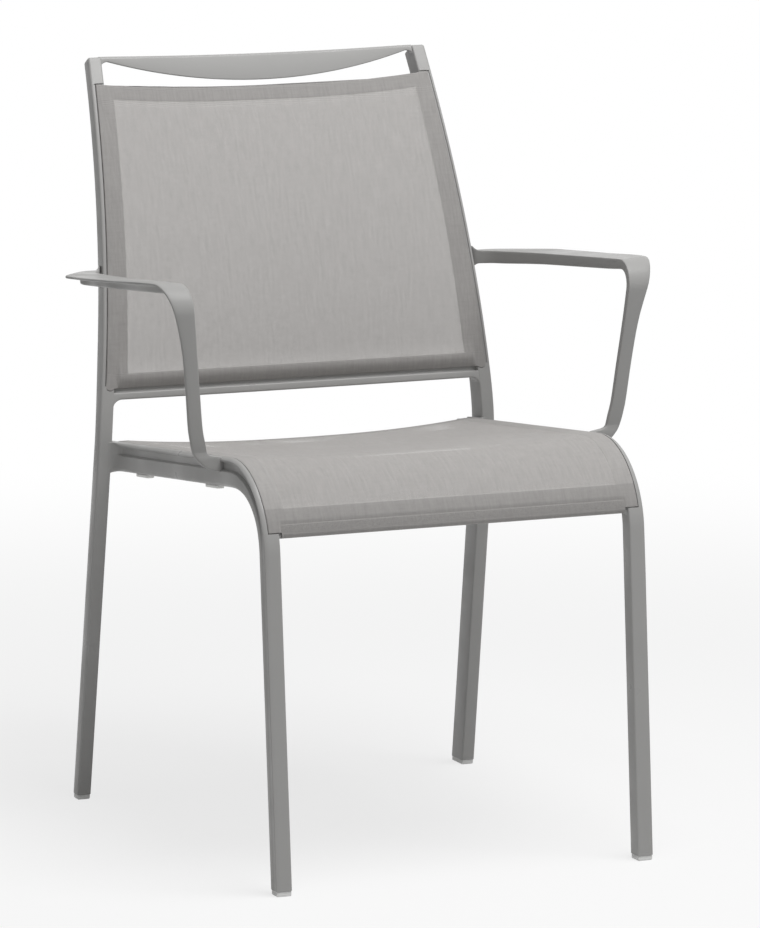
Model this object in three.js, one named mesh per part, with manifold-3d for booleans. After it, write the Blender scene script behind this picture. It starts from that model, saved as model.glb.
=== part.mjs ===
// A stacking sling armchair in powder-coated aluminium. Two bent rear uprights and two seat rails that
// turn down into the front legs carry cast armrests and cross rails. Two woven slings are held by rods
// in keyhole channels along the uprights and the seat rails.
// Millimetres, +Z up, the front of the chair towards -Y. The right half is modelled and mirrored.

import * as THREE from 'three';
import { mergeVertices } from 'three/addons/utils/BufferGeometryUtils.js';
import Module from 'manifold-3d';

const wasm = await Module();
wasm.setup();

// Clearance between pieces that touch, and the shift that puts the origin under the middle of the chair
const GAP = 0.3;
const CENTRE_SHIFT = -38.36;

// Foot glides, with a stem that plugs into the open end of each leg
const GLIDE_HEIGHT = 6;
const GLIDE_INSET = 0.7;
const LEG_WALL = 2.6;
const SOCKET_DEPTH = 22;
const STEM_HEIGHT = 16;

// Rear upright: D-shaped section, inner front edge as the guide line
const UPRIGHT_WIDTH = 16.3;
const UPRIGHT_DEPTH_LEG = 30;
const UPRIGHT_DEPTH_TOP = 24;
const LEG_ROUND_WIDTH = 15.2;
const LEG_ROUND_SHARE = 0.7;
const BACK_ROUND_WIDTH = 12;
const BACK_ROUND_SHARE = 0.5;
const UPRIGHT_TOP = 857;
const UPRIGHT_TOP_BEVEL = 2.2;
const BEND_LOW = 400;
const BEND_HIGH = 490;
const BEND_LOW_Y = 206;
const BEND_HIGH_Y = 206.5;
const REAR_LEG_SPLAY = 0.161;
const BACK_RAKE = 0.1;
const BACK_BOW = 0.000616;
const FLOOR_X = 236;
const BEND_LOW_X = 231.9;
const BEND_HIGH_X = 226.5;
const BACK_TAPER = 0.0927;
const BACK_TAPER_EASE = 0.000016;
const UPRIGHT_HEIGHTS = [30, 120, 240, 340, 400, 415, 430, 445, 460, 475, 490, 515, 545, 575, 605, 635,
  665, 695, 725, 755, 785, 815, 840];

// Seat rail and front leg: one member, its top inner edge as the guide line in side view
const RAIL_WIDTH = 18.6;
const RAIL_REAR = new THREE.Vector2(228, 426.6);
const RAIL_CORNER = new THREE.Vector2(-233.8, 468.7);
const FRONT_FOOT_Y = -269.8;
const RAIL_BEND_RADIUS = 99;
const RAIL_DEPTH_REAR = 33.8;
const RAIL_DEPTH_FRONT = 32.3;
const LEG_DEPTH = 20;
const RAIL_RECESS = 2.4;
const RAIL_REAR_X = 209.9;
const RAIL_FRONT_X = 207.6;
const FRONT_FOOT_X = 206.9;
const FLARE_RADIUS = 15;
const FLARE_WIDTH = 8.5;
const FLARE_DROP = 9;

// How far the lip outside the channel falls away from the top face: distance along the rail, fall
const LIP_FALL = [[0, 3], [290, 2.6], [345, 1.8], [385, 1.5], [420, 0.6], [450, -0.7], [475, -1], [520, 0]];

// Sling channel: a shallow seat for the cloth, a neck and a round bore for the rod
const CHANNEL_SEAT = 1.4;
const CHANNEL_NECK = 2.4;
const CHANNEL_BORE = 3.2;
const CHANNEL_BORE_DEPTH = 7.4;
const UPRIGHT_SLOT = 10;
const RAIL_SLOT = 11.6;
const BACK_SLING_TOP = 827;
const BACK_SLING_SIDE_END = 484;
const SEAT_SLING_FRONT = 391.5;

// Slings
const CLOTH = 1.4;
const BACK_SLING_BOTTOM = 491.5;
const BACK_TOP_DIP = 8.4;
const SEAT_SLING_REAR_Y = 210;
const SEAT_SAG = 10.2;
const ROD_RADIUS = 2.3;

// Cross rails
const TOP_RAIL_BOTTOM = 823.6;
const TOP_RAIL_DIP = 2.8;
const TOP_RAIL_END_HEIGHT = 6.5;
const TOP_RAIL_THICKNESS = 11;
const LOWER_RAIL_BOTTOM = 475.3;
const LOWER_RAIL_TOP = 489.5;
const LOWER_RAIL_DEPTH = 21;
const FRONT_BAR_BOTTOM = 385.1;
const FRONT_BAR_TOP = 402;
const FRONT_BAR_DEPTH = 15;
const REAR_BAR_Y = 190;
const SPREADER_Y = -10;
const SPREADER_RADIUS = 8;
const SPREADER_BOW = 16;

// Armrest: a thin plate with a rib under its inner edge, turned down into a flat post
const ARM_ROOT = new THREE.Vector2(246, 620.8);
const ARM_CORNER = new THREE.Vector2(-131.4, 651.6);
const ARM_FOOT = new THREE.Vector2(-109.4, 426);
const ARM_BEND_RADIUS = 30;
const ARM_RIB_WIDTH = 11.5;
const ARM_RIB_OUTER = 268.5;

// Finishes
const frameFinish = new THREE.MeshStandardMaterial({ color: 0x8f8e8b, roughness: 0.45, metalness: 0.35 });
const slingFinish = new THREE.MeshStandardMaterial({ color: 0xb0adab, roughness: 0.85, metalness: 0 });
const plasticFinish = new THREE.MeshStandardMaterial({ color: 0xc2c2c0, roughness: 0.55, metalness: 0 });
const rodFinish = new THREE.MeshStandardMaterial({ color: 0xd8d8d4, roughness: 0.6, metalness: 0 });
const steelFinish = new THREE.MeshStandardMaterial({ color: 0xa8aaac, roughness: 0.3, metalness: 0.9 });

// Small number helpers
const mix = (a, b, t) => a + (b - a) * t;
const smooth = (t) => { const c = THREE.MathUtils.clamp(t, 0, 1); return c * c * (3 - 2 * c); };
const steps = (count) => Array.from({ length: count + 1 }, (_, i) => i / count);

/** Cubic from (z0, v0) to (z1, v1) that leaves and arrives with the given slopes. */
function cubic(z, z0, v0, slope0, z1, v1, slope1) {
  const h = z1 - z0;
  const t = (z - z0) / h;
  const t2 = t * t;
  const t3 = t2 * t;
  return (2 * t3 - 3 * t2 + 1) * v0 + (t3 - 2 * t2 + t) * h * slope0
    + (3 * t2 - 2 * t3) * v1 + (t3 - t2) * h * slope1;
}

/** Values of a table of [position, value, value, ...] rows, blended smoothly between its rows. */
function tableAt(rows, position) {
  const last = rows.length - 1;
  if (position <= rows[0][0]) return rows[0].slice(1);
  if (position >= rows[last][0]) return rows[last].slice(1);
  const i = rows.findIndex((row, k) => k < last && position < rows[k + 1][0]);
  const slope = (k, c) => {
    if (k <= 0 || k >= last) return 0;
    const before = (rows[k][c] - rows[k - 1][c]) / (rows[k][0] - rows[k - 1][0]);
    const after = (rows[k + 1][c] - rows[k][c]) / (rows[k + 1][0] - rows[k][0]);
    return before * after <= 0 ? 0 : (2 * before * after) / (before + after);
  };
  return rows[i].slice(1).map((value, n) => cubic(position, rows[i][0], value, slope(i, n + 1),
    rows[i + 1][0], rows[i + 1][n + 1], slope(i + 1, n + 1)));
}

/** A closed outline of [x, y, radius, steps] corners, each corner turned into an arc. */
function roundedOutline(corners) {
  const points = [];
  corners.forEach(([x, y, radius, count], i) => {
    const corner = new THREE.Vector2(x, y);
    if (!radius) {
      points.push(corner);
      return;
    }
    const [bx, by] = corners[(i + corners.length - 1) % corners.length];
    const [ax, ay] = corners[(i + 1) % corners.length];
    const before = new THREE.Vector2(bx, by).sub(corner).normalize();
    const after = new THREE.Vector2(ax, ay).sub(corner).normalize();
    const half = Math.acos(THREE.MathUtils.clamp(before.dot(after), -1, 1)) / 2;
    const reach = radius / Math.tan(half);
    const centre = corner.clone().add(before.clone().add(after).normalize().multiplyScalar(radius / Math.sin(half)));
    const start = corner.clone().addScaledVector(before, reach).sub(centre).angle();
    const end = corner.clone().addScaledVector(after, reach).sub(centre).angle();
    const turn = Math.atan2(Math.sin(end - start), Math.cos(end - start));
    for (const t of steps(count)) {
      const angle = start + turn * t;
      points.push(new THREE.Vector2(centre.x + radius * Math.cos(angle), centre.y + radius * Math.sin(angle)));
    }
  });
  return points;
}

/** Triangles across a thin band whose outline runs along one edge and back along the other. */
function bandTriangles(count) {
  return Array.from({ length: count / 2 - 1 }, (_, k) => [[k, k + 1, count - 2 - k], [k, count - 2 - k, count - 1 - k]]).flat();
}

/** A closed solid through stations, each with a flat outline and a function that places its points. */
function loft(stations, band = false) {
  const count = stations[0].outline.length;
  const turned = THREE.ShapeUtils.area(stations[0].outline) < 0;
  const ring = (outline) => (turned ? [...outline].reverse() : outline);
  const positions = stations.flatMap(({ outline, place }) => ring(outline).flatMap((p) => place(p.x, p.y).toArray()));
  const index = [];
  for (let i = 0; i + 1 < stations.length; i++) {
    for (let j = 0; j < count; j++) {
      const a = i * count + j;
      const b = i * count + ((j + 1) % count);
      index.push(a, b, a + count, b, b + count, a + count);
    }
  }
  const cap = ({ outline }) => (band ? bandTriangles(count) : THREE.ShapeUtils.triangulateShape(ring(outline), []));
  const base = (stations.length - 1) * count;
  for (const [a, b, c] of cap(stations[0])) index.push(a, c, b);
  for (const [a, b, c] of cap(stations[stations.length - 1])) index.push(a + base, b + base, c + base);
  const geometry = new THREE.BufferGeometry();
  geometry.setAttribute('position', new THREE.Float32BufferAttribute(positions, 3));
  geometry.setIndex(index);
  return facingOut(geometry);
}

/** The geometry with its faces turned the other way round if they point into the solid. */
function facingOut(geometry) {
  const p = geometry.attributes.position;
  const index = geometry.index.array;
  const [a, b, c] = [new THREE.Vector3(), new THREE.Vector3(), new THREE.Vector3()];
  let volume = 0;
  for (let i = 0; i < index.length; i += 3) {
    a.fromBufferAttribute(p, index[i]);
    b.fromBufferAttribute(p, index[i + 1]);
    c.fromBufferAttribute(p, index[i + 2]);
    volume += a.dot(b.cross(c));
  }
  if (volume < 0) geometry.setIndex(Array.from(index).reverse());
  return geometry;
}

/** A manifold solid from a closed geometry. */
function solid(geometry) {
  const bare = geometry.index ? geometry.clone() : geometry;
  bare.deleteAttribute('normal');
  bare.deleteAttribute('uv');
  const merged = mergeVertices(bare, 1e-4);
  const mesh = new wasm.Mesh({
    numProp: 3,
    vertProperties: new Float32Array(merged.attributes.position.array),
    triVerts: new Uint32Array(merged.index.array),
  });
  return new wasm.Manifold(mesh);
}

/** A geometry from a manifold solid. */
function fromSolid(body) {
  const mesh = body.getMesh();
  const geometry = new THREE.BufferGeometry();
  geometry.setAttribute('position', new THREE.BufferAttribute(new Float32Array(mesh.vertProperties), 3));
  geometry.setIndex(new THREE.BufferAttribute(new Uint32Array(mesh.triVerts), 1));
  return geometry;
}

const cut = (geometry, ...tools) => fromSolid(tools.reduce((body, tool) => body.subtract(solid(tool)), solid(geometry)));
const join = (geometry, ...others) => fromSolid(others.reduce((body, other) => body.add(solid(other)), solid(geometry)));

/** The same geometry on the other side of the chair. */
function mirrored(geometry) {
  const copy = geometry.clone().scale(-1, 1, 1);
  return facingOut(copy);
}

/** A line of straight runs with rounded corners in the side view, sampled by distance along it. */
function sidePath(points, radius) {
  const [start, corner, end] = points;
  const into = corner.clone().sub(start).normalize();
  const out = end.clone().sub(corner).normalize();
  const turn = Math.acos(into.dot(out));
  const reach = radius * Math.tan(turn / 2);
  const bendStart = start.distanceTo(corner) - reach;
  const bendLength = radius * turn;
  const length = bendStart + bendLength + corner.distanceTo(end) - reach;
  const at = (distance) => {
    const bent = THREE.MathUtils.clamp((distance - bendStart) / bendLength, 0, 1);
    const tangent = into.clone().rotateAround(new THREE.Vector2(), turn * bent);
    const outward = new THREE.Vector2(tangent.y, -tangent.x);
    const point = start.clone().addScaledVector(into, Math.min(distance, bendStart));
    if (bent > 0) {
      const centre = point.clone().addScaledVector(new THREE.Vector2(into.y, -into.x), -radius);
      point.copy(centre).addScaledVector(outward, radius);
      point.addScaledVector(out, Math.max(0, distance - bendStart - bendLength));
    }
    return { point, outward, tangent, bent };
  };
  return { at, length, bendStart, bendEnd: bendStart + bendLength };
}

// Rear upright guide lines

/** Front face of the upright in side view: straight leg, bend at the seat, bowed back. */
function uprightFaceY(z) {
  if (z <= BEND_LOW) return BEND_LOW_Y + REAR_LEG_SPLAY * (BEND_LOW - z);
  const h = z - BEND_HIGH;
  if (h >= 0) return BEND_HIGH_Y + BACK_RAKE * h + BACK_BOW * h * h;
  return cubic(z, BEND_LOW, BEND_LOW_Y, -REAR_LEG_SPLAY, BEND_HIGH, BEND_HIGH_Y, BACK_RAKE);
}

/** Inner side of the upright: the legs stand a little wider and the back narrows towards the top. */
function uprightInnerX(z) {
  const legSlope = (BEND_LOW_X - FLOOR_X) / BEND_LOW;
  if (z <= BEND_LOW) return FLOOR_X + legSlope * z;
  const h = z - BEND_HIGH;
  if (h >= 0) return BEND_HIGH_X - BACK_TAPER * h + BACK_TAPER_EASE * h * h;
  return cubic(z, BEND_LOW, BEND_LOW_X, legSlope, BEND_HIGH, BEND_HIGH_X, -BACK_TAPER);
}

/** Slope of the front face in side view at a height. */
const uprightSlope = (z) => uprightFaceY(z + 0.5) - uprightFaceY(z - 0.5);

/** Half-width that is free between the uprights at a height, some way behind their front face. */
function uprightReach(z, behind) {
  const slope = uprightSlope(z);
  return uprightInnerX(z + (behind * slope) / (1 + slope * slope)) - GAP - 0.05;
}

/** Places outline points (outward, backward) square to the upright at a height. */
function uprightPlace(z) {
  const slope = uprightSlope(z);
  const norm = Math.hypot(1, slope);
  return (u, b) => new THREE.Vector3(uprightInnerX(z) + u, uprightFaceY(z) + b / norm, z - (b * slope) / norm);
}

/** Places outline points level at a height, for the ends that stand on the glides. */
function uprightPlaceLevel(z) {
  const norm = Math.hypot(1, REAR_LEG_SPLAY);
  return (u, b) => new THREE.Vector3(uprightInnerX(z) + u, uprightFaceY(z) + b * norm, z);
}

/** Depth of the upright at a height: full at the leg, slimmer towards the top of the back. */
function uprightDepth(z) {
  return mix(UPRIGHT_DEPTH_LEG, UPRIGHT_DEPTH_TOP, THREE.MathUtils.clamp((z - BEND_LOW) / (UPRIGHT_TOP - BEND_LOW), 0, 1));
}

/** Upright section: flat front and inner side, its outer rear corner rounded in a long ellipse. */
function uprightOutline(inset = 0, z = 0) {
  const [w, d, i] = [UPRIGHT_WIDTH, uprightDepth(z), inset];
  const back = smooth((z - BEND_LOW - 30) / 110);
  const across = Math.min(mix(LEG_ROUND_WIDTH, BACK_ROUND_WIDTH, back), w - i - 0.8);
  const along = d * mix(LEG_ROUND_SHARE, BACK_ROUND_SHARE, back);
  const edge = (radius) => Math.max(0.5, radius - i);
  const round = steps(7).map((t) => {
    const angle = (t * Math.PI) / 2;
    return [w - across + (across - i) * Math.cos(angle), d - along + (along - i) * Math.sin(angle)];
  });
  return roundedOutline([[i, i, edge(2), 2], [w - i, i, edge(2.6), 2], ...round, [i, d - i, edge(1.1), 2]]);
}

/** Outline of the channel cutter: open seat for the cloth, narrow neck, round bore for the rod. */
function channelOutline(slot, clearance = 0) {
  const neck = CHANNEL_NECK / 2;
  const half = Math.asin(neck / CHANNEL_BORE);
  const bore = steps(9).map((t) => {
    const angle = -Math.PI / 2 + half + (2 * Math.PI - 2 * half) * t;
    return new THREE.Vector2(slot + CHANNEL_BORE * Math.cos(angle), CHANNEL_BORE_DEPTH + CHANNEL_BORE * Math.sin(angle));
  });
  return [
    new THREE.Vector2(-4, -4), new THREE.Vector2(slot + neck, -4),
    ...bore,
    new THREE.Vector2(slot - neck, CHANNEL_SEAT), new THREE.Vector2(-4, CHANNEL_SEAT),
  ];
}

function rightUpright() {
  const heights = [...UPRIGHT_HEIGHTS, UPRIGHT_TOP - 2 * UPRIGHT_TOP_BEVEL];
  const stations = [
    { outline: uprightOutline(), place: uprightPlaceLevel(GLIDE_HEIGHT) },
    ...heights.map((z) => ({ outline: uprightOutline(0, z), place: uprightPlace(z) })),
    { outline: uprightOutline(0.7, UPRIGHT_TOP), place: uprightPlace(UPRIGHT_TOP - 0.8) },
    { outline: uprightOutline(UPRIGHT_TOP_BEVEL, UPRIGHT_TOP), place: uprightPlace(UPRIGHT_TOP) },
  ];
  const channelHeights = heights.filter((z) => z > BACK_SLING_SIDE_END + 5 && z < BACK_SLING_TOP);
  const channel = loft([BACK_SLING_SIDE_END + 5, ...channelHeights, BACK_SLING_TOP + 0.6]
    .map((z) => ({ outline: channelOutline(UPRIGHT_SLOT), place: uprightPlace(z) })));
  const socket = loft([-1, GLIDE_HEIGHT + SOCKET_DEPTH]
    .map((z) => ({ outline: uprightOutline(LEG_WALL), place: uprightPlaceLevel(z) })));
  return cut(loft(stations), channel, channelFoot(), socket);
}

/** The round end of the cloth seat on the front face of the upright. */
function channelFoot() {
  const radius = (UPRIGHT_SLOT + CHANNEL_NECK / 2 + 1) / 2;
  const place = uprightPlace(BACK_SLING_SIDE_END + 5.6);
  const centre = place(radius - 1, 0);
  const round = new THREE.CylinderGeometry(radius, radius, CHANNEL_SEAT * 2, 20);
  return round.rotateX(-Math.atan(uprightSlope(BEND_HIGH))).translate(centre.x, centre.y, centre.z);
}

// Seat rail and front leg

const railPath = sidePath([RAIL_REAR, RAIL_CORNER, new THREE.Vector2(FRONT_FOOT_Y, 0)], RAIL_BEND_RADIUS);

/** Distance along the rail at which its face has come down to a height. */
function railDistanceAt(height) {
  let [low, high] = [railPath.bendStart, railPath.length];
  while (high - low > 0.01) {
    const middle = (low + high) / 2;
    if (railPath.at(middle).point.y > height) low = middle;
    else high = middle;
  }
  return low;
}

const seatChannelEnd = railDistanceAt(SEAT_SLING_FRONT);
const bendDistances = steps(12).map((t) => mix(railPath.bendStart, railPath.bendEnd, t));
const channelBends = bendDistances.filter((distance) => distance < seatChannelEnd - 4);

/** Inner side of the rail at a distance along it. */
function railInnerX(distance) {
  const { bendStart, bendEnd, length } = railPath;
  if (distance > bendEnd) return mix(RAIL_FRONT_X, FRONT_FOOT_X, (distance - bendEnd) / (length - bendEnd));
  return mix(RAIL_REAR_X, RAIL_FRONT_X, Math.min(1, distance / bendStart));
}

/** Depth of the member: tall along the seat, slimmer as it turns down into the leg. */
function railDepth(distance) {
  const { bent } = railPath.at(distance);
  const along = mix(RAIL_DEPTH_REAR, RAIL_DEPTH_FRONT, Math.min(1, distance / railPath.bendStart));
  return mix(along, LEG_DEPTH, smooth(bent * 1.25));
}

/** Places outline points (outward, below the top face) square to the rail. */
function railPlace(distance) {
  const { point, outward } = railPath.at(distance);
  const x = railInnerX(distance);
  return (u, b) => new THREE.Vector3(x + u, point.x - b * outward.x, point.y - b * outward.y);
}

/** Rail section: a lip beside the channel, a recess under it and a full lower half. */
function railOutline(width, depth, inset = 0, distance = Infinity) {
  const i = inset;
  const [fall] = tableAt(LIP_FALL, distance);
  const { bendStart, bendEnd } = railPath;
  const recess = mix(RAIL_RECESS, 0.15, smooth((distance - bendStart) / (bendEnd - bendStart)));
  const edge = (radius) => Math.max(0.5, radius - i);
  return roundedOutline([
    [i, i, edge(2), 2],
    [RAIL_SLOT + 1.4, i + fall * 0.1 - 0.08],
    [width - i, i + fall, edge(1), 2],
    [width - i - recess * 0.12, i + fall + 2],
    [width - i - recess, i + fall + 3.2],
    [width - i - recess * 0.9, depth * 0.31],
    [width - i, depth * 0.41, 4, 2],
    [width - i, depth - i, edge(5.5), 4],
    [i, depth - i, edge(2.6), 2],
  ]);
}

/** How far the weld flare stands out at a distance from the face of the upright. */
function flare(distance, size) {
  const t = THREE.MathUtils.clamp(1 - distance / FLARE_RADIUS, 0, 1);
  return size * (1 - Math.sqrt(1 - t * t));
}

/** Rail section with a fillet hanging from its outer lower corner, where the upright passes. */
function flaredOutline(width, depth, drop, distance) {
  return railOutline(width, depth, 0, distance).map((p) => {
    const nearUpright = flare(width - p.x, 1);
    const nearBottom = smooth((p.y / depth - 0.6) / 0.4);
    return new THREE.Vector2(p.x, p.y + drop * nearUpright * nearBottom);
  });
}

function rightSeatRail() {
  const { bendStart, bendEnd, length } = railPath;
  const faceDistance = RAIL_REAR.x - uprightFaceY(425) + 0.6;
  const flareRings = [0, 0.8, 2.5, 5, 9, FLARE_RADIUS].map((t) => {
    const distance = faceDistance + t;
    const width = RAIL_WIDTH + flare(t, FLARE_WIDTH);
    const place = railPlace(distance);
    const seated = (u, b) => {
      const p = place(u, b);
      p.y = Math.min(p.y, uprightFaceY(p.z) - GAP - t);
      return p;
    };
    return { outline: flaredOutline(width, railDepth(distance), flare(t, FLARE_DROP), distance), place: seated };
  });
  const behind = (distance, back) => {
    const place = railPlace(distance);
    return (u, b) => {
      const p = place(u, b);
      if (back) p.y = uprightFaceY(p.z) - GAP + back;
      return p;
    };
  };
  const along = steps(4).slice(1).map((t) => mix(faceDistance + FLARE_RADIUS, bendStart, t));
  const leg = [bendEnd + 120, length - 40];
  const plain = (distance) => ({
    outline: railOutline(RAIL_WIDTH, railDepth(distance), 0, distance), place: railPlace(distance),
  });
  const foot = railPlace(length);
  const level = (z) => (u, b) => {
    const p = foot(u, b);
    p.y += (z - p.z) * (RAIL_CORNER.x - FRONT_FOOT_Y) / RAIL_CORNER.y;
    p.z = z;
    return p;
  };
  const outline = railOutline(RAIL_WIDTH, railDepth(0), 0, 0);
  const body = loft([
    { outline, place: railPlace(0) },
    { outline, place: behind(faceDistance, 0.2) },
    ...flareRings,
    ...[...along, ...bendDistances.slice(1), ...leg].map(plain),
    { outline: railOutline(RAIL_WIDTH, LEG_DEPTH), place: level(GLIDE_HEIGHT) },
  ]);
  const channel = loft([-5, ...channelBends, seatChannelEnd]
    .map((d) => ({ outline: channelOutline(RAIL_SLOT), place: railPlace(d) })));
  const socket = loft([-1, GLIDE_HEIGHT + SOCKET_DEPTH]
    .map((z) => ({ outline: railOutline(RAIL_WIDTH, LEG_DEPTH, LEG_WALL), place: level(z) })));
  return { body: cut(body, channel, socket), level };
}

// Foot glides

/** A glide: a pad under the leg and a stem inside it. */
function glide(outlineAt, placeAt) {
  const pad = loft([
    { outline: outlineAt(GLIDE_INSET + 1), place: placeAt(0) },
    { outline: outlineAt(GLIDE_INSET), place: placeAt(1.2) },
    { outline: outlineAt(GLIDE_INSET), place: placeAt(GLIDE_HEIGHT - GAP) },
  ]);
  const stem = loft([GLIDE_HEIGHT - 1, GLIDE_HEIGHT + STEM_HEIGHT]
    .map((z) => ({ outline: outlineAt(LEG_WALL + GAP), place: placeAt(z) })));
  return join(pad, stem);
}

// Armrest

const armPath = sidePath([ARM_ROOT, ARM_CORNER, ARM_FOOT], ARM_BEND_RADIUS);

// Armrest sections: distance along the skin, inner x, outer x, rib depth, plate thickness
const ARM_SECTIONS = [
  [0, 230, 233.5, 15, 4.2],
  [4, 230, 237, 15.2, 4.2],
  [11.5, 230, 243.5, 15.2, 4.2],
  [18, 232, 253, 15.2, 4.2],
  [22, 240, 259, 15.2, 4.2],
  [28, 245.2, 265.5, 15.1, 4.2],
  [45.5, 248.2, 277, 15, 4.2],
  [76, 253, 297, 14.5, 4.1],
  [88, 254.7, 303.2, 14.3, 4],
  [100, 256.2, 306, 14, 4],
  [150, 261, 307, 13.4, 3.9],
  [230, 262.2, 303.5, 13.1, 3.7],
  [320, 262.6, 299.8, 12.6, 3.6],
  [352, 262.8, 295, 11.6, 3.6],
  [372, 261.6, 289.4, 10.2, 3.6],
  [398, 259.5, 282, 8.8, 3.8],
  [430, 256.6, 274, 8.4, 4.6],
  [480, 251.2, 267.4, 8.2, 5.6],
  [525, 246.2, 262.8, 7.6, 5.8],
  [543, 242.4, 259.6, 7.2, 5.6],
];

// How far the plate's outer edge is turned up: distance along the skin, rise
const ARM_EDGE_RISE = [[0, 0], [10, 1.4], [20, 2.2], [100, 2], [150, 1.6], [320, 2], [360, 1.1], [400, 0]];

/** Outline of an armrest section: plate on top, rib under the inner edge, flared where it roots. */
function armOutline([inner, outer, depth, plate], root, ribFlare = 0, rise = 0) {
  const width = outer - inner;
  const ribInner = inner + ARM_RIB_WIDTH;
  const ribOuter = Math.min(mix(ribInner, Math.max(ribInner, ARM_RIB_OUTER), ribFlare), outer - Math.min(2.6, width * 0.3));
  const web = depth - plate;
  const lift = 9 * root;
  const spread = Math.min(6.5, width * 0.25) * root;
  const round = Math.min(1.4, width * 0.2);
  return [
    [inner, 1.2 - lift], [inner + round * 0.35 + spread * 0.25, 0.4 - lift * 0.3], [inner + round + spread, 0],
    [outer - round, 0], [outer, 1], [outer, plate - 1.1], [outer - round * 0.6, plate],
    [Math.min(ribOuter + 2.2, outer - round * 0.9), plate + 0.1], [ribOuter, plate + web * 0.3],
    [ribOuter, depth - web * 0.24], [ribOuter - round * 0.6, depth],
    [Math.min(inner + round + spread, ribOuter - round), depth + 0.05],
    [inner + round * 0.4 + spread * 0.25, depth - 0.6 + lift * 0.35], [inner, depth - 2 + lift * 1.15],
  ].map(([x, y]) => new THREE.Vector2(x, y - rise * ((x - inner) / width) ** 1.5));
}

function rightArmrest() {
  const { bendStart, bendEnd } = armPath;
  const root = (distance) => 1 - smooth((distance - 14) / 10);
  const ribFlare = (distance) => 1 - smooth((distance - 24) / 36);
  const station = (distance) => {
    const { point, outward } = armPath.at(distance);
    return {
      outline: armOutline(
        tableAt(ARM_SECTIONS, distance), root(distance), ribFlare(distance), tableAt(ARM_EDGE_RISE, distance)[0],
      ),
      place: (x, d) => {
        const z = point.y - d * outward.y;
        const free = uprightInnerX(z) + UPRIGHT_WIDTH + GAP;
        return new THREE.Vector3(distance < 24 ? Math.max(x, free + (x - 230) * 0.05) : x, point.x - d * outward.x, z);
      },
    };
  };
  const along = [2, 6, 10, 14, 17, 19, 21, 23, 26, 30, 38, 48, 60, 72, 82, 90, 98, 110, 150, 200, 260, 310];
  const bend = steps(10).map((t) => mix(bendStart, bendEnd, t));
  const post = [bendEnd + 16, 430, 460, 490, 515, 530, 540];
  return loft([...along, ...bend, ...post].map(station).concat(armFoot()));
}

/** The foot of the arm post: it spreads forward, steps over the lip and dies out on the rail. */
function armFoot() {
  // height, inner x, outer x, front y, rear y
  const rings = [
    [464, 241, 257.6, -113, -106.1],
    [461, 237.5, 256, -113.9, -105.9],
    [458.6, 232.5, 254.9, -115.3, -105.5],
    [456.2, 228, 253.2, -116.6, -104],
    [452, 226.9, 249.8, -118.8, -100.5],
    [446, 226.9, 244.9, -122.4, -96.5],
    [440, 226.9, 240.2, -126, -93.5],
    [435, 226.9, 235.6, -128.4, -93],
    [431, 226.9, 231.2, -128.8, -94.5],
  ];
  return rings.map(([z, inner, outer, front, rear]) => {
    const depth = rear - front;
    const outline = armOutline([inner, outer, depth, depth - 1.8], 0);
    return { outline, place: (x, d) => new THREE.Vector3(x, front + d, z) };
  });
}

// Cross rails

/** A rail across the chair: a section at each distance in from its ends, and one in the middle. */
function crossRail(span, insets, section, place) {
  const half = insets.map((inset) => 1 - inset / span);
  const across = [...half.map((t) => -t), 0, ...[...half].reverse()];
  return loft(across.map((t) => ({ outline: section(span - Math.abs(t) * span), place: (y, z) => place(t, y, z) })));
}

/** How far a round fillet runs down the member a rail is welded to, at a distance in from the rail's end. */
function filletDrop(inset, radius) {
  const t = Math.max(0, 1 - inset / radius);
  return radius * (1 - Math.sqrt(1 - t * t));
}

/** The lower back rail: flat on top, with a round fillet down each upright. */
function lowerBackRail() {
  const fillet = 7;
  const section = (inset) => {
    const low = LOWER_RAIL_BOTTOM - filletDrop(inset, fillet);
    return roundedOutline([
      [0, low, 2, 2], [LOWER_RAIL_DEPTH, low, 3, 2], [LOWER_RAIL_DEPTH, LOWER_RAIL_TOP, 3, 2], [0, LOWER_RAIL_TOP, 1.6, 2],
    ]);
  };
  const place = (t, y, z) => new THREE.Vector3(t * uprightReach(z, y + 1.6), uprightFaceY(z) + 1.6 + y, z);
  return crossRail(uprightInnerX(LOWER_RAIL_TOP), [0, 0.4, 1.5, 3.4, fillet, 110], section, place);
}

/** The front bar under the edge of the seat sling, with a fillet down each front leg. */
function seatFrontBar() {
  const fillet = 6;
  const section = (inset) => {
    const low = FRONT_BAR_BOTTOM - filletDrop(inset, fillet);
    return roundedOutline([
      [0, low, 4, 3], [FRONT_BAR_DEPTH, low, 4, 3], [FRONT_BAR_DEPTH, FRONT_BAR_TOP, 4, 3], [0, FRONT_BAR_TOP, 4, 3],
    ]);
  };
  const end = RAIL_FRONT_X - GAP;
  const faceY = (z) => railPath.at(railDistanceAt(z)).point.x + CHANNEL_SEAT + 0.4;
  const place = (t, y, z) => new THREE.Vector3(t * end, faceY(z) + y, z);
  return crossRail(end, [0, 0.4, 1.4, 3, fillet, 100], section, place);
}

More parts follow.
